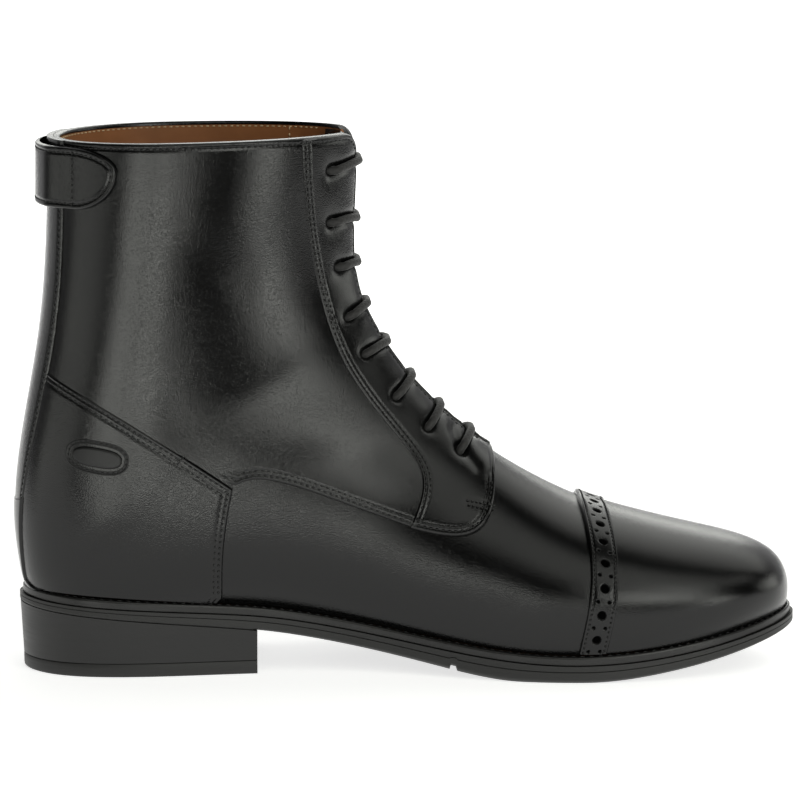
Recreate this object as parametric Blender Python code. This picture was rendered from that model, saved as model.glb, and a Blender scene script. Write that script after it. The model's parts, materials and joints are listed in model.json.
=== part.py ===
"""Lace-up paddock boot for the left foot, standing empty on its sole.

Toe towards +X, up +Z, the medial (inner) side towards -Y. The origin is on the floor under the middle of
the boot. Sizes are in millimetres and become metres where a mesh is made.
"""

import bmesh
import bpy
import mathutils
import numpy as np

MM = 0.001
GAP = 0.3

# Driving sizes of the boot
WALL = 2.2
WELT_THICKNESS = 3.0
WELT_SETBACK = 1.2
WELT_WIDTH = 11.0
FEATHER_INSET = 4.2
HEEL_BREAST_X = 90.0
TOP_PIECE_HEIGHT = 5.2
TOP_PIECE_ROUNDING = 0.7
HEEL_TAPER = 1.3
OUTSOLE_ROUNDING = 1.8
HEEL_SEAT_ROUNDING = 0.5
OUTSOLE_GROOVE = (0.5, 0.58, 0.66)
OUTSOLE_GROOVE_DEPTH = 0.45
INSOLE_THICKNESS = 3.0
INSOLE_CLEAR = 0.8
TONGUE_THICKNESS = 2.0
LACE_DIAMETER = 3.6

# Outside heights of the panels over the vamp, which is the bare upper
QUARTER_PROUD = 1.5
CAP_PROUD = 1.7
BAND_PROUD = 3.0
FACING_PROUD = 2.1
COUNTER_PROUD = 2.1
BACKSTAY_PROUD = 2.8
HEEL_TAB_PROUD = 3.3
PANEL_GAP = 0.75
BACK_CROWDING = 1.4
DEEP_PANEL_GAP = 0.95
CAP_GAP = 0.95
LACE_CLEAR = 0.6

# Plan of the outsole's edge, heel to toe: the two end rows are the heel's back and the toe's tip
OUTLINE_COLUMNS = ("x", "medial_y", "lateral_y")
OUTLINE = (
    (-0.5, -3.0, -3.0),
    (3.0, -15.0, 9.5),
    (11.5, -25.5, 21.0),
    (26.0, -32.0, 29.5),
    (48.0, -33.0, 33.5),
    (75.0, -29.5, 35.5),
    (105.0, -26.0, 38.5),
    (135.0, -29.5, 43.5),
    (163.0, -40.0, 49.5),
    (190.0, -49.5, 53.5),
    (215.0, -52.0, 53.5),
    (240.0, -49.5, 50.0),
    (262.0, -43.0, 41.5),
    (279.0, -33.5, 29.5),
    (290.5, -22.0, 15.0),
    (297.0, -4.5, -4.5),
)

# Height of the welt's top, which the upper stands on
SEAT = (
    (0.0, 32.0),
    (30.0, 29.6),
    (60.0, 27.7),
    (90.0, 25.7),
    (110.0, 22.6),
    (130.0, 19.0),
    (150.0, 15.4),
    (170.0, 12.2),
    (190.0, 10.1),
    (210.0, 9.5),
    (230.0, 10.5),
    (250.0, 13.0),
    (270.0, 16.6),
    (297.0, 22.6),
)

# Height of the outsole's underside. The tread's rear edge makes a small notch
TREAD_EDGE_X = 163.0
TREAD_NOTCH_HALF = 1.2
TREAD_NOTCH_DEPTH = 1.6
FLAT_SPOT = (189.5, 211.0)
UNDERSIDE = (
    (-1.0, 25.6),
    (30.0, 22.8),
    (60.0, 20.0),
    (90.0, 17.0),
    (105.0, 14.6),
    (123.0, 11.3),
    (141.0, 7.7),
    (159.0, 4.0),
    (167.0, 2.3),
    (177.0, 0.7),
    (185.0, 0.0),
    (193.0, 0.0),
    (201.0, 0.0),
    (209.0, 0.0),
    (216.0, 0.0),
    (227.0, 0.8),
    (240.0, 2.6),
    (255.0, 5.2),
    (270.0, 8.4),
    (285.0, 12.2),
    (298.0, 15.6),
)

# Sections of the upper from the toe's tip to the collar. Each is a ring in a plane through its front point
# on the vamp or throat and its base point on the welt or the back seam; widest is a share of that way
SECTION_COLUMNS = (
    "front_x", "front_z", "base_x", "base_z", "front_y", "half_width", "widest", "front_power", "back_power",
)
ON_WELT = 0.0
SECTIONS = (
    (291.4, 28.0, 291.2, ON_WELT, -4.5, 0.0, 0.60, 2.0, 2.0),
    (291.2, 31.0, 290.2, ON_WELT, -4.5, 9.4, 0.63, 2.0, 2.0),
    (290.2, 35.0, 287.0, ON_WELT, -4.5, 18.0, 0.66, 2.05, 2.0),
    (287.2, 40.0, 280.5, ON_WELT, -4.6, 26.6, 0.68, 2.1, 2.0),
    (279.6, 44.4, 270.5, ON_WELT, -4.6, 34.8, 0.69, 2.15, 2.0),
    (267.0, 48.0, 258.0, ON_WELT, -4.3, 41.0, 0.70, 2.15, 2.0),
    (250.0, 51.6, 243.5, ON_WELT, -3.8, 45.8, 0.70, 2.1, 2.0),
    (232.0, 56.2, 228.0, ON_WELT, -3.0, 49.0, 0.70, 2.05, 2.0),
    (214.5, 61.3, 212.0, ON_WELT, -2.0, 50.2, 0.70, 2.0, 2.0),
    (199.5, 68.4, 195.0, ON_WELT, -1.0, 49.4, 0.69, 1.95, 2.0),
    (187.0, 75.4, 175.0, ON_WELT, 0.0, 46.0, 0.67, 1.95, 2.0),
    (176.0, 82.6, 150.0, ON_WELT, 1.0, 41.4, 0.64, 1.95, 2.0),
    (165.0, 90.8, 118.0, ON_WELT, 1.8, 37.6, 0.61, 2.0, 2.1),
    (154.6, 100.4, 86.0, ON_WELT, 2.4, 36.0, 0.58, 2.05, 2.2),
    (146.0, 110.2, 58.0, ON_WELT, 2.8, 35.4, 0.56, 2.1, 2.3),
    (139.5, 119.6, 35.0, ON_WELT, 3.0, 35.2, 0.55, 2.1, 2.3),
    (134.6, 128.2, 18.5, ON_WELT, 3.1, 35.2, 0.55, 2.1, 2.3),
    (131.2, 135.6, 9.0, ON_WELT, 3.2, 35.2, 0.55, 2.1, 2.3),
    (128.9, 142.2, 4.9, ON_WELT, 3.2, 35.2, 0.55, 2.1, 2.3),
    (127.6, 148.6, 3.5, 40.5, 3.2, 35.2, 0.55, 2.1, 2.3),
    (126.8, 155.2, 2.2, 49.5, 3.2, 35.4, 0.55, 2.1, 2.3),
    (126.6, 162.5, 1.5, 60.0, 3.2, 35.7, 0.55, 2.1, 2.25),
    (126.8, 170.5, 2.2, 74.0, 3.2, 36.2, 0.55, 2.1, 2.2),
    (127.1, 178.0, 4.8, 91.5, 3.2, 37.0, 0.56, 2.1, 2.15),
    (127.4, 184.8, 8.2, 109.5, 3.2, 38.0, 0.57, 2.1, 2.1),
    (127.6, 190.6, 11.4, 127.5, 3.2, 39.2, 0.58, 2.1, 2.1),
    (127.8, 195.4, 13.6, 148.0, 3.2, 40.6, 0.59, 2.1, 2.1),
    (127.9, 199.3, 14.9, 172.0, 3.2, 42.0, 0.60, 2.1, 2.1),
    (128.0, 202.6, 15.3, 201.4, 3.2, 43.2, 0.60, 2.1, 2.1),
)
COLLAR = len(SECTIONS) - 1
BACK_Y = -3.0
TIP_NORMAL = np.array([1.0, 0.0, 0.0])

# The throat is open from its base to the collar, with round top corners
THROAT_BASE = 10.65
THROAT_HALF_GAP = (4.0, 7.5)
THROAT_CORNER_RADIUS = 11.0

# Seams seen from the side, as points (x, z), and the row numbers where the back pieces end
FACING_SEAM = ((147.5, 58.0), (150.5, 65.0), (152.9, 75.0), (144.1, 87.0), (130.3, 103.0), (118.9, 121.0),
               (111.5, 147.0), (107.2, 174.0), (106.0, 203.0))
FACING_LOBE = ((147.5, 56.2), (156.0, 54.0), (167.0, 52.8), (175.0, 56.5), (178.6, 64.0), (179.6, 72.0))
VAMP_SEAM = ((81.5, 73.0), (85.5, 75.2), (92.0, 75.8), (105.0, 72.6), (125.0, 64.6), (146.5, 57.0))
COUNTER_TOP = ((35.0, 102.9), (58.0, 87.6), (81.0, 72.0))
COUNTER_FRONT = ((77.0, 30.0), (76.9, 45.0), (78.6, 60.0), (81.0, 72.0))
CAP_SEAM = ((209.0, 11.5), (211.2, 22.0), (213.2, 34.0), (213.6, 48.0), (211.6, 62.3))
BAND_WIDTH = 10.8
SEAM_GAP = 1.0
COUNTER_GAP = 1.3
FOOT_OF_PANEL = 0.965
CAP_FOOT = 3.3
BAND_START = 0.4
BACK_FOOT = 0.945
TAB_SIDE_ROW = 16.7
TAB_TOP_ROW = 21.2
TAB_CLEAR_ROWS = 0.7
TAB_CLEAR_SHARE = 0.008
TAB_TOP_CLEAR = 0.12
TAB_FOOT_CLEAR = 0.35
COUNTER_TOP_ROW = 24.1
BACKSTAY_HALF = ((20.0, 10.5), (20.9, 13.0), (21.6, 15.6), (23.1, 19.6), (24.4, 21.2), (25.9, 22.4),
                 (28.0, 23.0))
BADGE_CENTRE = (31.3, 84.5)
BADGE_HALF = (11.5, 6.2)
BADGE_TILT = -9.0
BADGE_PROUD = 3.7

# Bars of the lace: row at the throat's edge, row at the eyelet, and arc length from the middle to the eyelet
LACE_BARS = (
    (25.3, 25.7, 26.0),
    (22.0, 22.8, 24.0),
    (19.7, 20.3, 18.5),
    (17.2, 17.4, 18.0),
    (15.25, 15.55, 19.0),
    (13.8, 13.8, 20.0),
    (12.6, 12.6, 20.5),
    (11.5, 11.6, 20.0),
)

# Tongue: half widths at its foot, above the instep and at the collar
TONGUE_HALF_WIDTHS = (15.0, 21.0, 20.0)

# Pull loop: heights of its edges and arc lengths from the back seam
LOOP_TOP = 199.5
LOOP_BOTTOM = 176.5
LOOP_TIP_Z = 191.0
LOOP_SEWN = 30.7
LOOP_END = 49.6
LOOP_THICKNESS = 1.4
LOOP_STAND_OFF = 3.4
LOOP_RISE = 14.0
LOOP_ROW = 27.4


def table(columns, rows):
    """Named columns of a table as arrays."""
    return dict(zip(columns, np.array(rows, float).T))


def spline(rows, at, closed=False):
    """Smooth cubic through control rows at the row numbers given. An open one touches its end rows."""
    rows = np.asarray(rows, float)
    at = np.asarray(at, float)
    if closed:
        first = np.floor(at).astype(int)
        share = (at - first)[..., None]
        near = [rows[(first + k) % len(rows)] for k in (-1, 0, 1, 2)]
    else:
        at = np.clip(at, 0, len(rows) - 1)
        first = np.minimum(at.astype(int), len(rows) - 2)
        share = (at - first)[..., None]
        padded = np.vstack([2 * rows[0] - rows[1], rows, 2 * rows[-1] - rows[-2]])
        near = [padded[first + k] for k in range(4)]
    weights = (
        (1 - share) ** 3,
        3 * share**3 - 6 * share**2 + 4,
        -3 * share**3 + 3 * share**2 + 3 * share + 1,
        share**3,
    )
    return sum(w * p for w, p in zip(weights, near)) / 6


def curve_height(rows, x):
    """Height at x of the smooth curve through rows of (x, z)."""
    drawn = spline(rows, np.linspace(0, len(rows) - 1, 600))
    return np.interp(x, drawn[:, 0], drawn[:, 1])


def seat_height(x):
    return curve_height(SEAT, x)


def underside_height(x):
    """Underside of the outsole, with the notch at the tread's edge."""
    in_notch = np.abs(x - TREAD_EDGE_X) < TREAD_NOTCH_HALF
    return curve_height(UNDERSIDE, x) + TREAD_NOTCH_DEPTH * in_notch


def outline(along, inset=0.0):
    """Medial and lateral points of the sole's plan, heel (0) to toe (1), moved inwards by inset."""
    plan = table(OUTLINE_COLUMNS, OUTLINE)
    medial = np.column_stack([plan["x"], plan["medial_y"]])
    lateral = np.column_stack([plan["x"], plan["lateral_y"]])
    loop = np.vstack([medial, lateral[-2:0:-1]])
    step = 1e-3
    sides = []
    for direction in (1.0, -1.0):
        at = direction * np.asarray(along, float) * (len(OUTLINE) - 1)
        point = spline(loop, at, closed=True)
        tangent = spline(loop, at + step, closed=True) - spline(loop, at - step, closed=True)
        tangent /= np.linalg.norm(tangent, axis=-1, keepdims=True)
        inward = np.stack([-tangent[..., 1], tangent[..., 0]], axis=-1)
        sides.append(point + np.broadcast_to(inset, point.shape[:-1])[..., None] * inward)
    return sides


FEATHER_SAMPLES = np.linspace(0, 1, 1500)
FEATHER_MEDIAL, FEATHER_LATERAL = outline(FEATHER_SAMPLES, FEATHER_INSET)
FEATHER_BACK_X = FEATHER_MEDIAL[0, 0]


def feather_edge(x):
    """Centre y and half width of the upper's bottom edge at x."""
    medial = np.interp(x, FEATHER_MEDIAL[:, 0], FEATHER_MEDIAL[:, 1])
    lateral = np.interp(x, FEATHER_LATERAL[:, 0], FEATHER_LATERAL[:, 1])
    return (medial + lateral) / 2, (lateral - medial) / 2


def section_rows():
    """The section table with the base points of the foot's sections set on the welt."""
    rows = np.array(SECTIONS, float)
    base_z = SECTION_COLUMNS.index("base_z")
    base_x = SECTION_COLUMNS.index("base_x")
    on_welt = rows[:, base_z] == ON_WELT
    rows[on_welt, base_z] = seat_height(rows[on_welt, base_x]) + GAP
    return rows


ROWS = section_rows()


def sections(v):
    """Sizes of the upper's section at row number v, with its seat width as a share of its half width."""
    made = dict(zip(SECTION_COLUMNS, np.moveaxis(spline(ROWS, v), -1, 0)))
    on_foot = np.asarray(v) < HEEL_CORNER
    made["base_z"] = np.where(
        on_foot, np.maximum(made["base_z"], seat_height(made["base_x"]) + GAP), made["base_z"]
    )
    centre, half = feather_edge(made["base_x"])
    made["base_y"] = np.where(on_foot, centre, BACK_Y)
    share = np.where(on_foot, half / np.maximum(made["half_width"], 1e-6), 0.0)
    made["seat_share"] = np.clip(share, 0.0, 0.965)
    return made


def heel_corner():
    """Row number where the section's base reaches the back of the feather edge, and the rings close."""
    v = np.linspace(len(SECTIONS) * 0.4, len(SECTIONS) * 0.75, 4000)
    base_x = spline(ROWS, v)[:, SECTION_COLUMNS.index("base_x")]
    return float(v[np.argmax(base_x <= FEATHER_BACK_X)])


HEEL_CORNER = heel_corner()


def bare_upper(v, q):
    """Point of the bare upper. q runs from 0 at the front to 1 at the base, negative on the medial side."""
    v, q = np.broadcast_arrays(np.asarray(v, float), np.asarray(q, float))
    s = sections(v)
    last = np.pi - np.arcsin(s["seat_share"] ** (s["back_power"] / 2))
    turn = np.abs(q) * last
    cosine, sine = np.cos(turn), np.clip(np.sin(turn), 0, 1)
    upper_half = turn < np.pi / 2
    power = np.where(upper_half, s["front_power"], s["back_power"])
    reach = np.abs(cosine) ** (2 / power)
    full = np.abs(np.cos(last)) ** (2 / s["back_power"])
    along = np.where(
        upper_half, s["widest"] * (1 - reach), s["widest"] + (1 - s["widest"]) * reach / full
    )
    out = sine ** (2 / power) * s["half_width"] * np.sign(q)
    x = s["front_x"] + (s["base_x"] - s["front_x"]) * along
    y = s["front_y"] + (s["base_y"] - s["front_y"]) * along + out
    z = s["front_z"] + (s["base_z"] - s["front_z"]) * along
    return np.stack([x, y, z], axis=-1)


def upper_normal(v, q):
    """Outward normal of the bare upper."""
    v, q = np.broadcast_arrays(np.asarray(v, float), np.asarray(q, float))
    dv, dq = 0.02, 0.012
    at_tip = v < dv
    low_v, high_v = np.maximum(v - dv, 0.06), np.minimum(np.maximum(v, 0.06) + dv, COLLAR)
    along = bare_upper(high_v, q) - bare_upper(low_v, q)
    v = np.maximum(v, 0.06)
    closed = v >= HEEL_CORNER
    high_q, low_q = q + dq, q - dq
    wrap = lambda a: np.where(np.abs(a) > 1, np.where(closed, a - 2 * np.sign(a), np.sign(a)), a)
    across = bare_upper(v, wrap(high_q)) - bare_upper(v, wrap(low_q))
    normal = np.cross(across, along)
    normal /= np.maximum(np.linalg.norm(normal, axis=-1, keepdims=True), 1e-9)
    return np.where(at_tip[..., None], TIP_NORMAL, normal)


def on_upper(v, q, proud=0.0):
    """Point at a height over the bare upper."""
    proud = np.asarray(proud, float)
    return bare_upper(v, q) + upper_normal(v, q) * proud[..., None]


def share_at_arc(v, arc, from_base=False):
    """q on a section at an arc length, in millimetres, from its front or from its base."""
    v, arc = np.broadcast_arrays(np.asarray(v, float), np.asarray(arc, float))
    found = np.empty(v.shape)
    q = np.linspace(0, 1, 400)
    for index in np.ndindex(v.shape):
        line = bare_upper(v[index], q[::-1] if from_base else q)
        run = np.concatenate([[0], np.cumsum(np.linalg.norm(np.diff(line, axis=0), axis=1))])
        here = np.interp(arc[index], run, q)
        found[index] = 1 - here if from_base else here
    return found


def seam(points, side, x=0.0, z=0.0, count=26):
    """(v, q) points along the smooth curve through side-view points, moved by x and z."""
    drawn = spline(points, np.linspace(0, len(points) - 1, count)) + np.array([x, z])
    return locate(drawn, side)


def locate(points, side):
    """Row number and q of the surface points seen from the side at (x, z)."""
    trial = np.linspace(0.2, COLLAR, 3000)
    s = sections(trial)
    run_x, run_z = s["base_x"] - s["front_x"], s["base_z"] - s["front_z"]
    found = []
    for x, z in points:
        off_x, off_z = x - s["front_x"], z - s["front_z"]
        cross = run_x * off_z - run_z * off_x
        along = (run_x * off_x + run_z * off_z) / (run_x**2 + run_z**2)
        crossing = np.abs(cross) / np.hypot(run_x, run_z) + 100 * ((along < -0.2) | (along > 1.2))
        best = int(np.argmin(crossing))
        share = float(np.clip(along[best], 0, 1))
        widest, seat = s["widest"][best], s["seat_share"][best]
        last = np.pi - np.arcsin(seat ** (s["back_power"][best] / 2))
        if share < widest:
            turn = np.arccos((1 - share / widest) ** (s["front_power"][best] / 2))
        else:
            full = np.abs(np.cos(last)) ** (2 / s["back_power"][best])
            down = (share - widest) / (1 - widest) * full
            turn = np.arccos(-(down ** (s["back_power"][best] / 2)))
        found.append((trial[best], side * turn / last))
    return np.array(found)


def throat_gap(v):
    """Half width of the throat's opening, in millimetres along the leather."""
    v = np.asarray(v, float)
    rise = np.clip((v - THROAT_BASE) / (COLLAR - THROAT_BASE), 0, 1)
    gap = THROAT_HALF_GAP[0] + (THROAT_HALF_GAP[1] - THROAT_HALF_GAP[0]) * rise
    opening = np.clip((v - THROAT_BASE) / 0.5, 0, 1) ** 0.5
    height = sections(v)["front_z"] - sections(np.array(float(COLLAR)))["front_z"] + THROAT_CORNER_RADIUS
    into = np.clip(height, 0, THROAT_CORNER_RADIUS)
    corner = THROAT_CORNER_RADIUS - np.sqrt(THROAT_CORNER_RADIUS**2 - into**2)
    return gap * opening + corner


def resampled(line, count, crowd=1.0):
    """A polyline of (v, q) drawn as a smooth curve with count points, crowded towards its start."""
    line = np.asarray(line, float)
    if len(line) > 2:
        fine = spline(line, np.linspace(0, len(line) - 1, 300))
    else:
        fine = line[0] + (line[1] - line[0]) * np.linspace(0, 1, 300)[:, None]
    places = bare_upper(fine[:, 0], fine[:, 1])
    run = np.concatenate([[0], np.cumsum(np.linalg.norm(np.diff(places, axis=0), axis=1))])
    at = run[-1] * np.linspace(0, 1, count) ** crowd
    return np.column_stack([np.interp(at, run, fine[:, 0]), np.interp(at, run, fine[:, 1])])


def filled(bottom, top, left, right, across, up, side=None):
    """Grid of (v, q) inside four edges. Bottom and top run left to right, left and right run bottom to top.

    With a side given, the grid is even in the side view and crowded towards the back; without one it is even
    in v and q.
    """
    crowd = 1.0 if side is None else BACK_CROWDING
    edges = [resampled(bottom, across, crowd), resampled(top, across, crowd)]
    edges += [resampled(left, up), resampled(right, up)]
    if side is not None:
        edges = [bare_upper(line[:, 0], line[:, 1])[:, [0, 2]] for line in edges]
    bottom, top, left, right = edges
    s = np.linspace(0, 1, across)[None, :, None] ** crowd
    t = np.linspace(0, 1, up)[:, None, None]
    ruled = (1 - t) * bottom[None] + t * top[None] + (1 - s) * left[:, None] + s * right[:, None]
    corners = (1 - t) * ((1 - s) * bottom[0] + s * bottom[-1]) + t * ((1 - s) * top[0] + s * top[-1])
    grid = ruled - corners
    if side is not None:
        grid = locate(grid.reshape(-1, 2), side).reshape(grid.shape)
    return grid


def material(name, colour, roughness, metallic=0.0):
    made = bpy.data.materials.new(name)
    made.use_nodes = True
    shader = made.node_tree.nodes["Principled BSDF"]
    shader.inputs["Base Color"].default_value = (*colour, 1.0)
    shader.inputs["Roughness"].default_value = roughness
    shader.inputs["Metallic"].default_value = metallic
    return made


def new_piece(name, points, faces, finish):
    """A closed mesh object from points in millimetres, with coinciding points joined."""
    shape = bmesh.new()
    corners = [shape.verts.new(p) for p in np.asarray(points, float) * MM]
    for face in faces:
        shape.faces.new([corners[i] for i in face])
    bmesh.ops.remove_doubles(shape, verts=shape.verts, dist=0.004 * MM)
    bmesh.ops.dissolve_degenerate(shape, edges=shape.edges, dist=0.002 * MM)
    loose = [v for v in shape.verts if not v.link_faces]
    bmesh.ops.delete(shape, geom=loose, context="VERTS")
    bmesh.ops.recalc_face_normals(shape, faces=shape.faces)
    mesh = bpy.data.meshes.new(name)
    shape.to_mesh(mesh)
    shape.free()
    mesh.shade_smooth()
    mesh.set_sharp_from_angle(angle=np.radians(35))
    piece = bpy.data.objects.new(name, mesh)
    piece.data.materials.append(finish)
    bpy.context.scene.collection.objects.link(piece)
    return piece


def grid_faces(rows, columns, start=0, skip=None):
    """Quads of a grid of points numbered row by row, leaving out those that skip(row, column) names."""
    return [
        (start + r * columns + c, start + r * columns + c + 1,
         start + (r + 1) * columns + c + 1, start + (r + 1) * columns + c)
        for r in range(rows - 1)
        for c in range(columns - 1)
        if not (skip and skip(r, c))
    ]


def wall_between(outer, inner, rims, skip=None):
    """Points and faces of a wall between two like grids, closed along rims given as (row, column) lists."""
    rows, columns = outer.shape[:2]
    points = np.concatenate([outer.reshape(-1, 3), inner.reshape(-1, 3)])
    deep = rows * columns
    faces = grid_faces(rows, columns, 0, skip) + grid_faces(rows, columns, deep, skip)
    for rim in rims:
        numbers = [r * columns + c for r, c in rim]
        faces += [(a, b, b + deep, a + deep) for a, b in zip(numbers, numbers[1:])]
    return points, faces


def panel(name, grid, low, high, finish, folded_tip=False):
    """A leather panel between two heights over the bare upper. A folded first row has no rim."""
    outer = on_upper(grid[..., 0], grid[..., 1], high)
    inner = on_upper(grid[..., 0], grid[..., 1], low)
    rows, columns = grid.shape[:2]
    rims = [
        [(rows - 1, c) for c in range(columns)],
        [(r, 0) for r in range(rows)],
        [(r, columns - 1) for r in range(rows)],
    ]
    if not folded_tip:
        rims.append([(0, c) for c in range(columns)])
    points, faces = wall_between(outer, inner, rims)
    return new_piece(name, points, faces, finish)


def sole_layer(name, rings, finish, last=1.0, stations=35, square_at=None):
    """Plate of the sole: rings of its plan from bottom to top, each an inset and a height at x."""
    along = np.linspace(0, last, stations)
    if square_at is None:
        notch = np.array([-1.06, -0.94, 0.94, 1.06]) * TREAD_NOTCH_HALF + TREAD_EDGE_X
        fine = np.linspace(0, 1, 2000)
        needed = np.interp(np.concatenate([notch, FLAT_SPOT]), outline(fine)[0][:, 0], fine)
        along = np.unique(np.concatenate([along, needed]))
    loops = []
    for inset, height in rings:
        medial, lateral = outline(along, inset(outline(along)[0][:, 0]) if callable(inset) else inset)
        if square_at is not None:
            medial[-1, 0] = lateral[-1, 0] = square_at
        plan = np.concatenate([medial, lateral[::-1]])
        loops.append(np.column_stack([plan, height(plan[:, 0])]))
    count = len(loops[0])
    faces = grid_faces(len(loops), count)
    for start in (0, (len(loops) - 1) * count):
        faces += [
            (start + i, start + i + 1, start + count - 2 - i, start + count - 1 - i)
            for i in range(len(along) - 1)
        ]
    return new_piece(name, np.concatenate(loops), faces, finish)


def build_outsole(finish):
    """Outsole from heel seat to toe, its edge rounded below and grooved half way up."""
    top = lambda x: seat_height(x) - WELT_THICKNESS - GAP
    level = lambda share: lambda x: underside_height(x) + share * (top(x) - underside_height(x))
    rounding = lambda x: np.where(x > HEEL_BREAST_X, OUTSOLE_ROUNDING, HEEL_SEAT_ROUNDING)
    groove_low, groove_middle, groove_high = (level(share) for share in OUTSOLE_GROOVE)
    rings = (
        (rounding, underside_height),
        (0.2, level(0.24)),
        (0.0, groove_low),
        (OUTSOLE_GROOVE_DEPTH, groove_middle),
        (0.0, groove_high),
        (0.3, top),
    )
    return sole_layer("outsole", rings, finish)


def build_heel(leather, rubber):
    """Stacked heel and its rubber top piece, with a flat breast."""
    fine = np.linspace(0, 1, 2000)
    last = float(np.interp(HEEL_BREAST_X, outline(fine)[0][:, 0], fine))
    low = TOP_PIECE_HEIGHT + GAP
    top = lambda x: underside_height(x) - GAP
    level = lambda share: lambda x: low + share * (top(x) - low)
    middle_taper = HEEL_TAPER * 0.45
    rings = ((HEEL_TAPER, level(0.0)), (middle_taper, level(0.5)), (0.2, level(1.0)))
    sole_layer("heel_stack", rings, leather, last, 17, HEEL_BREAST_X)
    flat = lambda z: lambda x: np.full_like(x, z)
    rings = (
        (HEEL_TAPER + TOP_PIECE_ROUNDING, flat(0.0)),
        (HEEL_TAPER, flat(TOP_PIECE_ROUNDING)),
        (HEEL_TAPER, flat(TOP_PIECE_HEIGHT)),
    )
    sole_layer("heel_top_piece", rings, rubber, last, 17, HEEL_BREAST_X)


def build_welt(finish):
    """Strip of welt round the sole, between the upper's edge and the outsole."""
    along = np.linspace(0, 1, 35)
    low = lambda x: seat_height(x) - WELT_THICKNESS
    corners = (
        (WELT_SETBACK, low),
        (WELT_SETBACK + 0.3, seat_height),
        (WELT_WIDTH, seat_height),
        (WELT_WIDTH, low),
        (WELT_SETBACK, low),
    )
    loops = []
    for inset, height in corners:
        medial, lateral = outline(along, inset)
        plan = np.concatenate([medial, lateral[::-1]])
        loops.append(np.column_stack([plan, height(plan[:, 0])]))
    return new_piece("welt", np.concatenate(loops), grid_faces(len(loops), len(loops[0])), finish)


def build_insole(finish):
    """Insole lying inside the upper on the welt."""
    inset = FEATHER_INSET + WALL + INSOLE_CLEAR
    low = lambda x: seat_height(x) + GAP
    rings = ((inset, low), (inset, lambda x: low(x) + INSOLE_THICKNESS))
    return sole_layer("insole", rings, finish, stations=27)


def build_upper(finish):
    """The hollow wall of vamp and quarters, open at collar, throat and underneath."""
    foot = np.concatenate([[0.0, 0.4, 1.0, 1.7], np.linspace(2.5, 10.0, 8), [THROAT_BASE]])
    throat = np.concatenate([[10.8, 11.3], np.linspace(12.2, HEEL_CORNER, 8)])
    shaft = np.concatenate([np.linspace(HEEL_CORNER, 26.0, 8)[1:], [26.9, 27.5, COLLAR]])
    v = np.concatenate([foot, throat, shaft])
    half_columns = 14
    gap = np.where(v > THROAT_BASE, throat_gap(v), 0.0)
    front = np.where(gap > 0, share_at_arc(v, gap), 0.0)
    spread = np.linspace(0, 1, half_columns)
    side = front[:, None] + (1 - front[:, None]) * spread[None, :]
    q = np.concatenate([-side[:, ::-1], side], axis=1)
    grid_v = np.broadcast_to(v[:, None], q.shape)
    outer = on_upper(grid_v, q)
    inner = on_upper(grid_v, q, -WALL)
    rows, columns = q.shape
    base_row = int(np.argmin(np.abs(v - THROAT_BASE)))
    corner_row = int(np.argmin(np.abs(v - HEEL_CORNER)))
    middle = half_columns - 1
    rims = (
        [(r, 0) for r in range(corner_row + 1)],
        [(r, columns - 1) for r in range(corner_row + 1)],
        [(r, middle) for r in range(base_row, rows)],
        [(r, middle + 1) for r in range(base_row, rows)],
        [(rows - 1, c) for c in range(middle + 1)],
        [(rows - 1, c) for c in range(middle + 1, columns)],
    )
    points, faces = wall_between(outer, inner, rims, skip=lambda r, c: c == middle)
    return new_piece("upper", points, faces, finish)


def build_tongue(finish):
    """Curved tongue behind the throat, from under the vamp to the collar."""
    v = np.linspace(THROAT_BASE - 1.0, COLLAR - 0.4, 15)
    reach = share_at_arc(v, np.interp(v, (v[0], v[4], v[-1]), TONGUE_HALF_WIDTHS))
    q = reach[:, None] * np.linspace(-1, 1, 7)[None, :]
    grid = np.stack([np.broadcast_to(v[:, None], q.shape), q], axis=-1)
    top = -WALL - DEEP_PANEL_GAP
    return panel("tongue", grid, top - TONGUE_THICKNESS, top, finish)


def throat_edge(v, side):
    """Edge of the throat as (v, q) points."""
    return np.column_stack([v, side * share_at_arc(v, throat_gap(v))])


def back_edge(v, side, beyond=0.0):
    """Side edge of the backstay as (v, q) points, moved away from the back seam by beyond."""
    half = np.interp(v, *np.array(BACKSTAY_HALF).T)
    return np.column_stack([v, side * share_at_arc(v, half + beyond, from_base=True)])


def build_facing(name, side, finish):
    """Eyelet facing from the collar down to its round lobe on the vamp."""
    rear = seam(FACING_SEAM, side)
    rear[-1, 0] = COLLAR
    lobe = seam(FACING_LOBE, side)
    up_throat = np.concatenate([np.linspace(THROAT_BASE + 0.1, 25.0, 16), np.linspace(25.6, COLLAR, 10)])
    edge = throat_edge(up_throat, side)
    front = np.concatenate([lobe, edge])
    grid = filled((rear[0], lobe[0]), (rear[-1], edge[-1]), rear, front, 5, 21)
    return panel(name, grid, PANEL_GAP, FACING_PROUD, finish)


def build_quarter(name, side, finish):
    """Quarter panel between backstay, collar, facing, vamp seam and counter."""
    front = seam(FACING_SEAM, side, x=-SEAM_GAP)
    front[-1, 0] = COLLAR
    back = back_edge(np.linspace(COUNTER_TOP_ROW, COLLAR, 8), side, SEAM_GAP)
    start = tuple(bare_upper(*back[0])[[0, 2]])
    below = seam((start, *COUNTER_TOP[:-1], *VAMP_SEAM), side, count=36)
    below = np.concatenate([back[:1], below[1:], front[:1]])
    grid = filled(below, (back[-1], front[-1]), back, front, 14, 11, side)
    return panel(name, grid, DEEP_PANEL_GAP, QUARTER_PROUD, finish)


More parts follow.
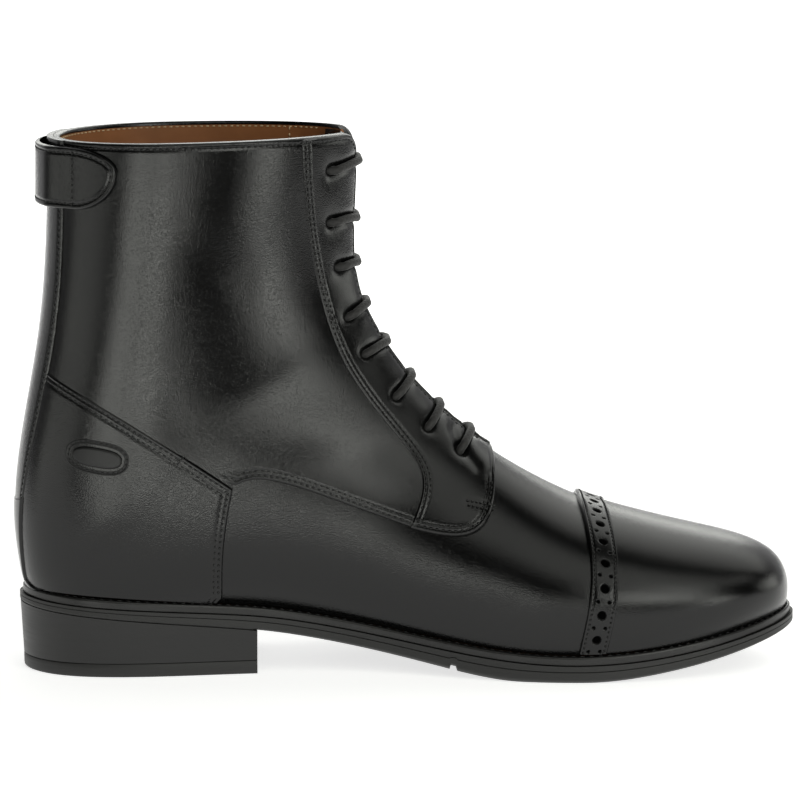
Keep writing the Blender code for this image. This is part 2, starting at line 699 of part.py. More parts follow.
def build_counter(name, side, finish):
    """Heel counter panel between backstay, quarter, vamp and welt."""
    front = seam(COUNTER_FRONT, side, z=-COUNTER_GAP)
    front[0, 1] = side * FOOT_OF_PANEL
    up_back = back_edge(np.linspace(TAB_TOP_ROW, COUNTER_TOP_ROW, 4), side, SEAM_GAP)
    up_back[-1, 0] -= COUNTER_GAP / 8
    foot = np.array([TAB_SIDE_ROW - TAB_CLEAR_ROWS, side * BACK_FOOT])
    by_tab = foot + (up_back[0] - foot) * np.linspace(0, 1, 8)[:-1, None]
    by_tab[:, 1] -= side * TAB_CLEAR_SHARE * np.sin(np.linspace(0, np.pi, 8)[:-1])
    back = np.concatenate([by_tab, up_back])
    start = tuple(bare_upper(*back_edge(np.array([COUNTER_TOP_ROW]), side, SEAM_GAP)[0])[[0, 2]])
    top = seam((start, *COUNTER_TOP), side, z=-COUNTER_GAP)
    top[0] = back[-1]
    bottom = (foot, front[0])
    grid = filled(bottom, top, back, front, 10, 9, side)
    return panel(name, grid, DEEP_PANEL_GAP, COUNTER_PROUD, finish)


def both_sides(half):
    """Grid over the back seam from its medial half, whose last column lies on the seam."""
    mirrored = half[:, ::-1] * np.array([1.0, -1.0])
    return np.concatenate([half, mirrored[:, 1:]], axis=1)


def build_backstay(finish):
    """Strip over the back seam from the heel tab to the collar."""
    v = np.linspace(TAB_TOP_ROW, COLLAR, 11)
    edge = back_edge(v, -1)[:, 1]
    q = edge[:, None] + (-1 - edge[:, None]) * np.linspace(0, 1, 4)[None, :]
    half = np.stack([np.broadcast_to(v[:, None], q.shape), q], axis=-1)
    return panel("backstay", both_sides(half), PANEL_GAP, BACKSTAY_PROUD, finish)


def build_heel_tab(finish):
    """Tab over the foot of the back seam, spreading down to the welt."""
    top_row = TAB_TOP_ROW - TAB_TOP_CLEAR
    edge = back_edge(np.array([top_row]), -1)[0]
    low_side = (TAB_SIDE_ROW, -BACK_FOOT)
    low_middle = (HEEL_CORNER + TAB_FOOT_CLEAR, -1.0)
    half = filled((low_side, low_middle), (edge, (top_row, -1.0)), (low_side, edge),
                  (low_middle, (top_row, -1.0)), 6, 7)
    return panel("heel_tab", both_sides(half), PANEL_GAP, HEEL_TAB_PROUD, finish)


def cap_row(q, forward=0.0):
    """Row number of the toe cap's seam at q, moved towards the toe by forward."""
    fine = seam(CAP_SEAM, 1.0, x=forward, count=60)
    order = np.argsort(fine[:, 1])
    return np.interp(np.abs(q), fine[order, 1], fine[order, 0])


def build_toe_cap(leather):
    """Toe cap over the front of the vamp, and the band along its seam."""
    spread = np.linspace(-1, 1, 17)
    rows = np.array([0.0, 0.06, 0.14, 0.24, 0.36, 0.5, 0.64, 0.78, 0.9, 1.0])
    v = rows[:, None] * cap_row(spread * FOOT_OF_PANEL)[None, :]
    q = spread * np.where(spread == 0, 1.0, share_at_arc(v, CAP_FOOT, from_base=True))
    panel("toe_cap", np.stack([v, q], axis=-1), CAP_GAP, CAP_PROUD, leather, folded_tip=True)
    q = np.linspace(-FOOT_OF_PANEL, FOOT_OF_PANEL, 25)
    share = np.linspace(0, 1, 3)[:, None]
    v = (1 - share) * cap_row(q, BAND_START)[None, :] + share * cap_row(q, BAND_WIDTH)[None, :]
    grid = np.stack([v, np.broadcast_to(q[None, :], v.shape)], axis=-1)
    panel("toe_cap_band", grid, CAP_PROUD + PANEL_GAP, BAND_PROUD, leather)


def row_at_height(z, q):
    """Row number on the shaft where the surface at q has height z."""
    low = np.full(np.shape(z), HEEL_CORNER + 1.0)
    high = np.full(np.shape(z), float(COLLAR))
    for _ in range(40):
        middle = (low + high) / 2
        above = bare_upper(middle, q)[..., 2] > z
        low, high = np.where(above, low, middle), np.where(above, middle, high)
    return (low + high) / 2


def build_pull_loop(finish):
    """Strap round the back below the collar, sewn down at both rounded ends and free between them."""
    arc = LOOP_END * np.array([-1, -0.99, -0.95, -0.86, -0.74, -0.62, -0.5, -0.41, -0.32, -0.2, -0.1, 0])
    arc = np.concatenate([arc, -arc[-2::-1]])
    into_end = np.clip((np.abs(arc) - LOOP_SEWN) / (LOOP_END - LOOP_SEWN), 0, 1)
    round_end = np.sqrt(np.maximum(1 - into_end**2, 0.012))
    top = LOOP_TIP_Z + (LOOP_TOP - LOOP_TIP_Z) * round_end
    bottom = LOOP_TIP_Z + (LOOP_BOTTOM - LOOP_TIP_Z) * round_end
    share = np.linspace(0, 1, 4)[:, None]
    z = bottom + share * (top - bottom)
    base = share_at_arc(np.full(arc.shape, LOOP_ROW), np.abs(arc), from_base=True)
    q = np.broadcast_to(np.where(arc < 0, -base, base), z.shape)
    free = np.clip((LOOP_SEWN - np.abs(arc)) / LOOP_RISE, 0, 1)
    stand = LOOP_STAND_OFF * free**2 * (3 - 2 * free)
    grid = np.stack([row_at_height(z, q), q], axis=-1)
    low = np.broadcast_to(QUARTER_PROUD + PANEL_GAP + stand, z.shape)
    return panel("pull_loop", grid, low, low + LOOP_THICKNESS, finish)


def build_badge(finish):
    """Plain oval pad sewn on the medial counter."""
    u, w = np.meshgrid(np.linspace(-1, 1, 7), np.linspace(-1, 1, 7))
    along, up = u * np.sqrt(1 - w**2 / 2) * BADGE_HALF[0], w * np.sqrt(1 - u**2 / 2) * BADGE_HALF[1]
    tilt = np.radians(BADGE_TILT)
    x = BADGE_CENTRE[0] + along * np.cos(tilt) - up * np.sin(tilt)
    z = BADGE_CENTRE[1] + along * np.sin(tilt) + up * np.cos(tilt)
    grid = locate(np.column_stack([x.ravel(), z.ravel()]), -1.0).reshape(*x.shape, 2)
    return panel("oval_pad", grid, COUNTER_PROUD + PANEL_GAP, BADGE_PROUD, finish)


def build_lace_bar(name, edge_row, eyelet_row, arc, finish):
    """One bar of the round lace from eyelet to eyelet, over the facings and straight across the throat."""
    radius = LACE_DIAMETER / 2
    proud = FACING_PROUD + LACE_CLEAR + radius
    edge = share_at_arc(edge_row, throat_gap(edge_row))
    reach = share_at_arc(eyelet_row, arc)
    q = np.linspace(-reach, reach, 9)
    v = edge_row + (eyelet_row - edge_row) * np.clip((np.abs(q) - edge) / (reach - edge), 0, 1)
    path = on_upper(v, q, proud)
    ends = on_upper(np.full(2, edge_row), np.array([-edge, edge]), proud)
    across = np.clip((q + edge) / (2 * edge), 0, 1)[:, None]
    path = np.where(np.abs(q)[:, None] < edge, ends[0] + (ends[1] - ends[0]) * across, path)
    along = np.gradient(path, axis=0)
    along /= np.linalg.norm(along, axis=1, keepdims=True)
    out = upper_normal(v, q)
    out -= np.sum(out * along, axis=1, keepdims=True) * along
    out /= np.linalg.norm(out, axis=1, keepdims=True)
    side = np.cross(along, out)
    turn = np.linspace(0, 2 * np.pi, 7)[None, :, None]
    rings = path[:, None] + radius * (np.cos(turn) * out[:, None] + np.sin(turn) * side[:, None])
    sides = rings.shape[1]
    faces = grid_faces(len(path), sides)
    faces += [tuple(range(sides - 1)), tuple(range((len(path) - 1) * sides, len(path) * sides - 1))]
    return new_piece(name, rings.reshape(-1, 3), faces, finish)


def stand_on_origin():
    """Moves all meshes so that the origin is on the floor under the middle of the boot."""
    meshes = [piece.data for piece in bpy.data.objects if piece.type == "MESH"]
    corners = np.array([v.co for mesh in meshes for v in mesh.vertices])
    low, high = corners.min(axis=0), corners.max(axis=0)
    shift = np.array([(low[0] + high[0]) / 2, (low[1] + high[1]) / 2, low[2]])
    for mesh in meshes:
        for v in mesh.vertices:
            v.co -= mathutils.Vector(shift)


def main():
    for old in list(bpy.data.objects):
        bpy.data.objects.remove(old)
    calf = material("black_calf_leather", (0.012, 0.013, 0.013), 0.35)
    lining = material("tan_lining_leather", (0.19, 0.07, 0.025), 0.6)
    edge = material("black_welt_leather", (0.011, 0.011, 0.011), 0.4)
    rubber = material("black_rubber", (0.016, 0.016, 0.015), 0.55)
    stack = material("black_heel_leather", (0.013, 0.013, 0.013), 0.4)
    cord = material("black_waxed_cord", (0.013, 0.012, 0.011), 0.7)
    build_outsole(rubber)
    build_heel(stack, rubber)
    build_welt(edge)
    build_insole(lining)
    build_upper(calf)
    build_tongue(calf)
    build_toe_cap(calf)
    for side, name in ((-1, "medial"), (1, "lateral")):
        build_quarter("quarter_" + name, side, calf)
        build_facing("facing_" + name, side, calf)
        build_counter("counter_" + name, side, calf)
    build_badge(calf)
    build_backstay(calf)
    build_heel_tab(calf)
    build_pull_loop(calf)
    for number, (edge_row, eyelet_row, arc) in enumerate(LACE_BARS, start=1):
        build_lace_bar("lace_bar_%d" % number, edge_row, eyelet_row, arc, cord)
    stand_on_origin()


main()
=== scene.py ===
# %% [markdown]
# # A black leather lace-up riding boot
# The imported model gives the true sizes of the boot. This lesson dresses it: fine leather panels
# with rounded edges, rows of thread, a lace through its eyelets, a tan lining and a welted sole.
# Every new piece is a surface worked out with numpy from the same last that the solids were cut
# from.

import json

import bmesh
import bpy
import numpy as np
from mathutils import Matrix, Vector

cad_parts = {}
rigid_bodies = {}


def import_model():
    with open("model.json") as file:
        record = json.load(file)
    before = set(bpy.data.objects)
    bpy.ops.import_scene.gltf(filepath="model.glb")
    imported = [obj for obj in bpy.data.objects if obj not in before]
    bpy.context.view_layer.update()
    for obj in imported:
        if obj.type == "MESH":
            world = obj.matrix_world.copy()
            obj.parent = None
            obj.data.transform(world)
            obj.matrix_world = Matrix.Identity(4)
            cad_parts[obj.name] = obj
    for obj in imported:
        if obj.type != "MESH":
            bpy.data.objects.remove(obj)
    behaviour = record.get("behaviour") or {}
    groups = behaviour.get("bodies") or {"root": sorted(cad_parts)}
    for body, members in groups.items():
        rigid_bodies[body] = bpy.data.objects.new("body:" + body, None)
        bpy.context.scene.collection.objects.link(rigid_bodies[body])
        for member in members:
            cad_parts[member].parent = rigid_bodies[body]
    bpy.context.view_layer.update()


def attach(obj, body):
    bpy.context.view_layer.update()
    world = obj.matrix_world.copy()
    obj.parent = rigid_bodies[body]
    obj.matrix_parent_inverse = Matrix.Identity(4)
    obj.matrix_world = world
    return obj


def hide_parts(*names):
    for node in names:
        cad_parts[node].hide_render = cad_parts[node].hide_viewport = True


for old in list(bpy.data.objects):
    bpy.data.objects.remove(old)
scene = bpy.context.scene
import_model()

# %% [markdown]
# ## The last, as tables
# A shoemaker describes a last by its plan, its profile and its girths. The same few tables are used
# here, in millimetres, with x from heel to toe and z up from the floor. The plan gives the sole's
# edge on the inner (medial) and outer (lateral) side. Each section is a ring round the foot, from a
# front point on the vamp or throat to a base point on the welt or the back seam.

# %% Plan of the sole and heights along it
ORIGIN = np.array([146.636, 0.30, 0.0])
OUTLINE = np.array((
    (-0.5, -3.0, -3.0), (3.0, -15.0, 9.5), (11.5, -25.5, 21.0), (26.0, -32.0, 29.5),
    (48.0, -33.0, 33.5), (75.0, -29.5, 35.5), (105.0, -26.0, 38.5), (135.0, -29.5, 43.5),
    (163.0, -40.0, 49.5), (190.0, -49.5, 53.5), (215.0, -52.0, 53.5), (240.0, -49.5, 50.0),
    (262.0, -43.0, 41.5), (279.0, -33.5, 29.5), (290.5, -22.0, 15.0), (297.0, -4.5, -4.5),
))
SEAT = (
    (0.0, 32.0), (30.0, 29.6), (60.0, 27.7), (90.0, 25.7), (110.0, 22.6), (130.0, 19.0),
    (150.0, 15.4), (170.0, 12.2), (190.0, 10.1), (210.0, 9.5), (230.0, 10.5), (250.0, 13.0),
    (270.0, 16.6), (297.0, 22.6),
)
UNDERSIDE = (
    (-1.0, 25.6), (30.0, 22.8), (60.0, 20.0), (90.0, 17.0), (105.0, 14.6), (123.0, 11.3),
    (141.0, 7.7), (159.0, 4.0), (167.0, 2.3), (177.0, 0.7), (185.0, 0.0), (193.0, 0.0),
    (201.0, 0.0), (209.0, 0.0), (216.0, 0.0), (227.0, 0.8), (240.0, 2.6), (255.0, 5.2),
    (270.0, 8.4), (285.0, 12.2), (298.0, 15.6),
)

# %% Sections of the upper
SECTION_COLUMNS = (
    "front_x", "front_z", "base_x", "base_z", "front_y", "half_width", "widest", "front_power",
    "back_power",
)
ON_WELT = 0.0
SECTIONS = (
    (291.4, 28.0, 291.2, ON_WELT, -4.5, 0.0, 0.60, 2.0, 2.0),
    (291.2, 31.0, 290.2, ON_WELT, -4.5, 9.4, 0.63, 2.0, 2.0),
    (290.2, 35.0, 287.0, ON_WELT, -4.5, 18.0, 0.66, 2.05, 2.0),
    (287.2, 40.0, 280.5, ON_WELT, -4.6, 26.6, 0.68, 2.1, 2.0),
    (279.6, 44.4, 270.5, ON_WELT, -4.6, 34.8, 0.69, 2.15, 2.0),
    (267.0, 48.0, 258.0, ON_WELT, -4.3, 41.0, 0.70, 2.15, 2.0),
    (250.0, 51.6, 243.5, ON_WELT, -3.8, 45.8, 0.70, 2.1, 2.0),
    (232.0, 56.2, 228.0, ON_WELT, -3.0, 49.0, 0.70, 2.05, 2.0),
    (214.5, 61.3, 212.0, ON_WELT, -2.0, 50.2, 0.70, 2.0, 2.0),
    (199.5, 68.4, 195.0, ON_WELT, -1.0, 49.4, 0.69, 1.95, 2.0),
    (187.0, 75.4, 175.0, ON_WELT, 0.0, 46.0, 0.67, 1.95, 2.0),
    (176.0, 82.6, 150.0, ON_WELT, 1.0, 41.4, 0.64, 1.95, 2.0),
    (165.0, 90.8, 118.0, ON_WELT, 1.8, 37.6, 0.61, 2.0, 2.1),
    (154.6, 100.4, 86.0, ON_WELT, 2.4, 36.0, 0.58, 2.05, 2.2),
    (146.0, 110.2, 58.0, ON_WELT, 2.8, 35.4, 0.56, 2.1, 2.3),
    (139.5, 119.6, 35.0, ON_WELT, 3.0, 35.2, 0.55, 2.1, 2.3),
    (134.6, 128.2, 18.5, ON_WELT, 3.1, 35.2, 0.55, 2.1, 2.3),
    (131.2, 135.6, 9.0, ON_WELT, 3.2, 35.2, 0.55, 2.1, 2.3),
    (128.9, 142.2, 4.9, ON_WELT, 3.2, 35.2, 0.55, 2.1, 2.3),
    (127.6, 148.6, 3.5, 40.5, 3.2, 35.2, 0.55, 2.1, 2.3),
    (126.8, 155.2, 2.2, 49.5, 3.2, 35.4, 0.55, 2.1, 2.3),
    (126.6, 162.5, 1.5, 60.0, 3.2, 35.7, 0.55, 2.1, 2.25),
    (126.8, 170.5, 2.2, 74.0, 3.2, 36.2, 0.55, 2.1, 2.2),
    (127.1, 178.0, 4.8, 91.5, 3.2, 37.0, 0.56, 2.1, 2.15),
    (127.4, 184.8, 8.2, 109.5, 3.2, 38.0, 0.57, 2.1, 2.1),
    (127.6, 190.6, 11.4, 127.5, 3.2, 39.2, 0.58, 2.1, 2.1),
    (127.8, 195.4, 13.6, 148.0, 3.2, 40.6, 0.59, 2.1, 2.1),
    (127.9, 199.3, 14.9, 172.0, 3.2, 42.0, 0.60, 2.1, 2.1),
    (128.0, 202.6, 15.3, 201.4, 3.2, 43.2, 0.60, 2.1, 2.1),
)
COLLAR = len(SECTIONS) - 1
print("sections:", len(SECTIONS), "collar height:", SECTIONS[COLLAR][1], "mm")

# %% [markdown]
# ## Curves from few points
# A cubic B-spline turns a short table into a smooth curve. It does not pass exactly through its
# points, but it never ripples, and ripples are what the eye sees first on polished leather.

# %% Spline, plan and heights
CURVE_POINTS, TANGENT_STEP, TINY = 1200, 1e-3, 1e-9


def spline(rows, at, closed=False):
    """Cubic B-spline of the rows at row numbers: four near rows, weighted by cubics."""
    rows, at = np.asarray(rows, float), np.asarray(at, float)
    if closed:
        first = np.floor(at).astype(int)
        near = [rows[(first + k) % len(rows)] for k in (-1, 0, 1, 2)]
    else:
        at = np.clip(at, 0, len(rows) - 1)
        first = np.minimum(at.astype(int), len(rows) - 2)
        padded = np.vstack([2 * rows[0] - rows[1], rows, 2 * rows[-1] - rows[-2]])
        near = [padded[first + k] for k in range(4)]
    t = (at - first)[..., None]
    weights = ((1 - t) ** 3, 3 * t**3 - 6 * t**2 + 4, -3 * t**3 + 3 * t**2 + 3 * t + 1, t**3)
    return sum(w * p for w, p in zip(weights, near)) / 6


def height_along(rows, x):
    """Height at x on the smooth curve through rows of (x, z)."""
    drawn = spline(rows, np.linspace(0, len(rows) - 1, CURVE_POINTS))
    return np.interp(x, drawn[:, 0], drawn[:, 1])


def seat(x):
    """Height of the welt's top at x."""
    return height_along(SEAT, x)


def unit(vectors):
    """Vectors scaled to length one."""
    return vectors / np.maximum(np.linalg.norm(vectors, axis=-1, keepdims=True), TINY)


def outline(along, inset=0.0):
    """Medial and lateral points of the plan, heel (0) to toe (1), moved inwards along its normal."""
    loop = np.vstack([OUTLINE[:, [0, 1]], OUTLINE[-2:0:-1][:, [0, 2]]])
    sides = []
    for way in (1.0, -1.0):
        at = way * np.asarray(along, float) * (len(OUTLINE) - 1)
        ahead, behind = (spline(loop, at + k * TANGENT_STEP, closed=True) for k in (1, -1))
        tangent = unit(ahead - behind)
        inward = np.stack([-tangent[..., 1], tangent[..., 0]], axis=-1)
        sides.append(spline(loop, at, closed=True) + np.asarray(inset, float)[..., None] * inward)
    return sides

# %% [markdown]
# ## The upper as one function
# The upper is a function of two parameters. v counts the sections from the toe's tip to the collar,
# and q runs round a section from 0 at the front to 1 at the base, negative on the medial side. A
# section is a superellipse: two powers make it flatter or fuller than an ellipse. Every panel,
# stitch and lace is placed with this one function, so they all sit on the same form.

# %% Points and normals of the bare upper
FEATHER_INSET, BASE_GAP, BACK_Y = 4.2, 0.3, -3.0
FULLEST_SEAT, TIP_ROW, VERY_TIP = 0.965, 0.06, 0.02
FEATHER_MEDIAL, FEATHER_LATERAL = outline(np.linspace(0, 1, 1500), FEATHER_INSET)
ROWS = np.array(SECTIONS)
FOOT_ROWS = ROWS[:, 3] == ON_WELT
ROWS[FOOT_ROWS, 3] = seat(ROWS[FOOT_ROWS, 2]) + BASE_GAP
FINE_ROWS = np.linspace(0, COLLAR, 6000)
HEEL_CORNER = FINE_ROWS[np.argmax(spline(ROWS, FINE_ROWS)[:, 2] <= FEATHER_MEDIAL[0, 0])]


def sections(v):
    """Sizes of the section at row number v, and its seat on the welt as a share of its half width."""
    made = dict(zip(SECTION_COLUMNS, np.moveaxis(spline(ROWS, v), -1, 0)))
    on_foot = np.asarray(v) < HEEL_CORNER
    low = seat(made["base_x"]) + BASE_GAP
    made["base_z"] = np.where(on_foot, np.maximum(made["base_z"], low), made["base_z"])
    medial = np.interp(made["base_x"], FEATHER_MEDIAL[:, 0], FEATHER_MEDIAL[:, 1])
    lateral = np.interp(made["base_x"], FEATHER_LATERAL[:, 0], FEATHER_LATERAL[:, 1])
    made["base_y"] = np.where(on_foot, (medial + lateral) / 2, BACK_Y)
    share = np.where(on_foot, (lateral - medial) / 2 / np.maximum(made["half_width"], 1e-6), 0.0)
    made["last"] = np.pi - np.arcsin(np.clip(share, 0.0, FULLEST_SEAT) ** (made["back_power"] / 2))
    return made


def bare_upper(v, q):
    """Superellipse: the share from front to base is 1 - cos^(2/power), the width sin^(2/power)."""
    v, q = np.broadcast_arrays(np.asarray(v, float), np.asarray(q, float))
    s = sections(v)
    turn = np.abs(q) * s["last"]
    before = turn < np.pi / 2
    power = np.where(before, s["front_power"], s["back_power"])
    reach = np.abs(np.cos(turn)) ** (2 / power)
    full = np.abs(np.cos(s["last"])) ** (2 / s["back_power"])
    rear = s["widest"] + (1 - s["widest"]) * reach / full
    along = np.where(before, s["widest"] * (1 - reach), rear)
    out = np.clip(np.sin(turn), 0, 1) ** (2 / power) * s["half_width"] * np.sign(q)
    x, y, z = (s["front_" + a] + (s["base_" + a] - s["front_" + a]) * along for a in "xyz")
    return np.stack([x, y + out, z], axis=-1)


def slopes(v, q, step_v=0.02, step_q=0.012):
    """Change of the upper's point for one row and for a whole q, by central differences."""
    v = np.maximum(v, TIP_ROW)
    high_v, low_v = np.minimum(v + step_v, COLLAR), np.maximum(v - step_v, TIP_ROW)
    closed = v >= HEEL_CORNER
    ends = []
    for a in (q + step_q, q - step_q):
        ends.append(np.where(np.abs(a) > 1, np.where(closed, a - 2 * np.sign(a), np.sign(a)), a))
    along = (bare_upper(high_v, q) - bare_upper(low_v, q)) / (high_v - low_v)[..., None]
    around = (bare_upper(v, ends[0]) - bare_upper(v, ends[1])) / (2 * step_q)
    return along, around


def normals(v, q):
    """Outward normal: the cross product of the two slopes, and straight ahead at the very tip."""
    v, q = np.broadcast_arrays(np.asarray(v, float), np.asarray(q, float))
    along, around = slopes(v, q)
    ahead = np.array([1.0, 0.0, 0.0])
    return np.where((v < VERY_TIP)[..., None], ahead, unit(np.cross(around, along)))


print("heel corner at row", round(float(HEEL_CORNER), 2))
print("back of the collar at", bare_upper(COLLAR, 1.0).round(1))

# %% [markdown]
# ## Soft creases
# Leather that has been pulled over a last and stood on a shelf is never quite even. Each row of this
# table is one trough or ridge: a straight run in the side view, given by x and z at both ends, with a
# width and a height. A negative height is a trough.

# %% Creases and puckers
CREASES = (
    (58.0, 168.0, 84.0, 152.0, 9.0, -0.35),
    (96.0, 112.0, 62.0, 100.0, 10.0, -0.45),
    (112.0, 94.0, 84.0, 88.0, 9.0, 0.35),
    (132.0, 84.0, 110.0, 80.0, 8.0, -0.3),
    (188.0, 40.0, 176.0, 24.0, 12.0, -0.3),
    (53.0, 86.0, 33.0, 62.0, 9.0, 0.4),
    (163.5, 89.0, 167.5, 82.0, 1.8, -0.8),
    (167.5, 82.0, 172.5, 76.0, 1.8, -0.6),
    (169.5, 83.5, 175.0, 77.0, 2.6, 0.4),
)


def creases(x, z):
    """Sum of runs: height times a bell of the distance from the run."""
    total = np.zeros(np.shape(x))
    for x0, z0, x1, z1, width, height in CREASES:
        run = np.array([x1 - x0, z1 - z0])
        share = np.clip(((x - x0) * run[0] + (z - z0) * run[1]) / (run @ run), 0, 1)
        away = np.hypot(x - x0 - share * run[0], z - z0 - share * run[1])
        total = total + height * np.exp(-((away / width) ** 2))
    return total


def skin(v, q, proud=0.0):
    """Point on the leather: the bare upper moved along its normal by a height and the creases there."""
    point = bare_upper(v, q)
    lift = np.asarray(proud, float) + creases(point[..., 0], point[..., 2])
    return point + normals(v, q) * lift[..., None]

# %% [markdown]
# ## Finding places on the upper
# The seams are drawn as they are seen from the side, so a point (x, z) has to be turned into its v
# and q. The section planes fan out like the pages of a book, so halving an interval of v finds the
# page that a point lies on.

# %% From side view to surface
FIRST_ROW, HALVINGS = 0.2, 44


def locate(points, side):
    """(v, q) of side-view points: halving finds the section plane, the superellipse gives the turn."""
    points = np.asarray(points, float)
    low, high = (np.full(points.shape[:-1], row) for row in (FIRST_ROW, float(COLLAR)))
    for _ in range(HALVINGS):
        v = (low + high) / 2
        s = sections(v)
        run_x, run_z = s["base_x"] - s["front_x"], s["base_z"] - s["front_z"]
        off_x, off_z = points[..., 0] - s["front_x"], points[..., 1] - s["front_z"]
        ahead = run_x * off_z - run_z * off_x > 0
        low, high = np.where(ahead, low, v), np.where(ahead, v, high)
    share = np.clip((run_x * off_x + run_z * off_z) / (run_x**2 + run_z**2), 0, 1)
    full = np.abs(np.cos(s["last"])) ** (2 / s["back_power"])
    up = np.clip(1 - share / s["widest"], 0, 1) ** (s["front_power"] / 2)
    down = (np.clip(share - s["widest"], 0, 1) / (1 - s["widest"]) * full) ** (s["back_power"] / 2)
    turn = np.where(share < s["widest"], np.arccos(up), np.arccos(-np.clip(down, 0, 1)))
    return np.stack([v, side * turn / s["last"]], axis=-1)


def seam(points, side, x=0.0, z=0.0, count=160):
    """(v, q) points along the smooth curve through side-view points, moved by x and z."""
    return locate(spline(points, np.linspace(0, len(points) - 1, count)) + np.array([x, z]), side)


def places(pairs):
    """Points of the bare upper at (v, q) pairs."""
    return bare_upper(pairs[..., 0], pairs[..., 1])


def side_of(pairs):
    """Side-view (x, z) of (v, q) pairs."""
    return places(pairs)[..., [0, 2]]


def arc_share(v, arc, from_base=False):
    """q at an arc length in millimetres from a section's front, or from its base."""
    v, arc = np.broadcast_arrays(np.asarray(v, float), np.asarray(arc, float))
    q = np.linspace(0, 1, 400)
    line = bare_upper(v.ravel()[:, None], (q[::-1] if from_base else q)[None, :])
    run = np.cumsum(np.linalg.norm(np.diff(line, axis=1), axis=2), axis=1)
    run = np.concatenate([np.zeros((len(run), 1)), run], axis=1)
    share = np.array([np.interp(a, r, q) for a, r in zip(arc.ravel(), run)]).reshape(v.shape)
    return 1 - share if from_base else share


def run_of(points):
    """Arc length along a polyline, starting at zero."""
    return np.concatenate([[0], np.cumsum(np.linalg.norm(np.diff(points, axis=0), axis=1))])


def points_at(at, run, line):
    """Points of a polyline at arc lengths along it."""
    return np.column_stack([np.interp(at, run, column) for column in line.T])


def spaced(line, at):
    """(v, q) points at shares of a line's length."""
    run = run_of(places(line))
    return points_at(np.asarray(at) * run[-1], run, line)


def path_tangent(path):
    """Direction of a polyline at each of its points."""
    return unit(np.gradient(path, axis=0))


def offset(line, distance):
    """Line of (v, q) moved sideways over the leather: the step is solved from the surface's slopes."""
    along, around = slopes(*line.T)
    across = np.cross(normals(*line.T), path_tangent(places(line)))
    step = across * np.asarray(distance, float)[..., None]
    pairs = ((along, along), (around, around), (along, around), (step, along), (step, around))
    aa, bb, ab, sa, sb = (np.sum(p * q, axis=1) for p, q in pairs)
    det = aa * bb - ab**2
    return line + np.column_stack([(sa * bb - sb * ab) / det, (sb * aa - sa * ab) / det])


print("facing corner found at", locate(np.array([[147.5, 58.0]]), -1.0).round(3))

# %% [markdown]
# ## Materials
# The boot is smooth black calf, dyed through and waxed. Wax gives broad soft highlights, and the
# pores and fine grain break them up into a sparkle. Colours are written as sRGB hex values, as a
# colour picker shows them, and one function turns them into the linear values that the renderer
# works with. A second small function adds a node with its settings and links, so each material
# reads from top to bottom.

# %% Colour and node helpers
MM = 0.001


def linear(code):
    """sRGB hex to linear: a power of 2.4 with a short straight run near black."""
    srgb = np.array([int(code[k:k + 2], 16) for k in (1, 3, 5)]) / 255
    return (*np.where(srgb <= 0.04045, srgb / 12.92, ((srgb + 0.055) / 1.055) ** 2.4), 1.0)


def wire(tree, node, inputs):
    """Sets inputs by name or number, each to a value or to another node's output."""
    for socket, value in inputs.items():
        if isinstance(value, bpy.types.NodeSocket):
            tree.links.new(value, node.inputs[socket])
        else:
            node.inputs[socket].default_value = value


def add(tree, kind, inputs, **settings):
    """Adds a node with its settings and its inputs."""
    made = tree.nodes.new("ShaderNode" + kind)
    for name, value in settings.items():
        setattr(made, name, value)
    wire(tree, made, inputs)
    return made


def finish_of(name, **sockets):
    """New material: its node tree and its shader, with plain values set on the shader's own sockets."""
    made = bpy.data.materials.new(name)
    made.use_nodes = True
    shader = made.node_tree.nodes["Principled BSDF"]
    wire(made.node_tree, shader, {socket.replace("_", " "): value for socket, value in sockets.items()})
    return made, made.node_tree, shader

# %% Nodes that several materials share
def own_place(tree):
    """Place on the object, in metres."""
    return add(tree, "TexCoord", {}).outputs["Object"]


def noise(tree, place, size, detail):
    """Noise with spots of a size in millimetres."""
    settings = {"Vector": place, "Scale": 1 / (size * MM), "Detail": detail}
    return add(tree, "TexNoise", settings).outputs["Fac"]


def blend(tree, factor, dark, light):
    """Colour between two colours, each a hex code or an output."""
    first, second = (linear(c) if isinstance(c, str) else c for c in (dark, light))
    return add(tree, "Mix", {0: factor, 6: first, 7: second}, data_type="RGBA").outputs[2]


def ramp(tree, value, low, high, start=0.0, end=1.0):
    """Value from start to end, mapped to low to high."""
    return add(tree, "MapRange", {0: value, 1: start, 2: end, 3: low, 4: high}).outputs[0]


def maths(tree, operation, *values):
    """Result of a sum, product or other operation."""
    return add(tree, "Math", dict(enumerate(values)), operation=operation).outputs[0]


def relief(tree, height, strength, depth):
    """Normal bent by a height map with a depth in millimetres."""
    settings = {"Height": height, "Strength": strength, "Distance": depth * MM}
    return add(tree, "Bump", settings).outputs[0]

# %% Black calf leather: dyed, glazed and waxed hide with fine pores
GRAIN, MOTTLE, SHINE, GLOSS_CHANGE = 0.4, 22.0, 0.4, 0.05
# Painted shade of the punched holes: a near-black colour and extra roughness.
HOLE_PAINTED_SHADE, HOLE_DULL = "#040404", 0.5


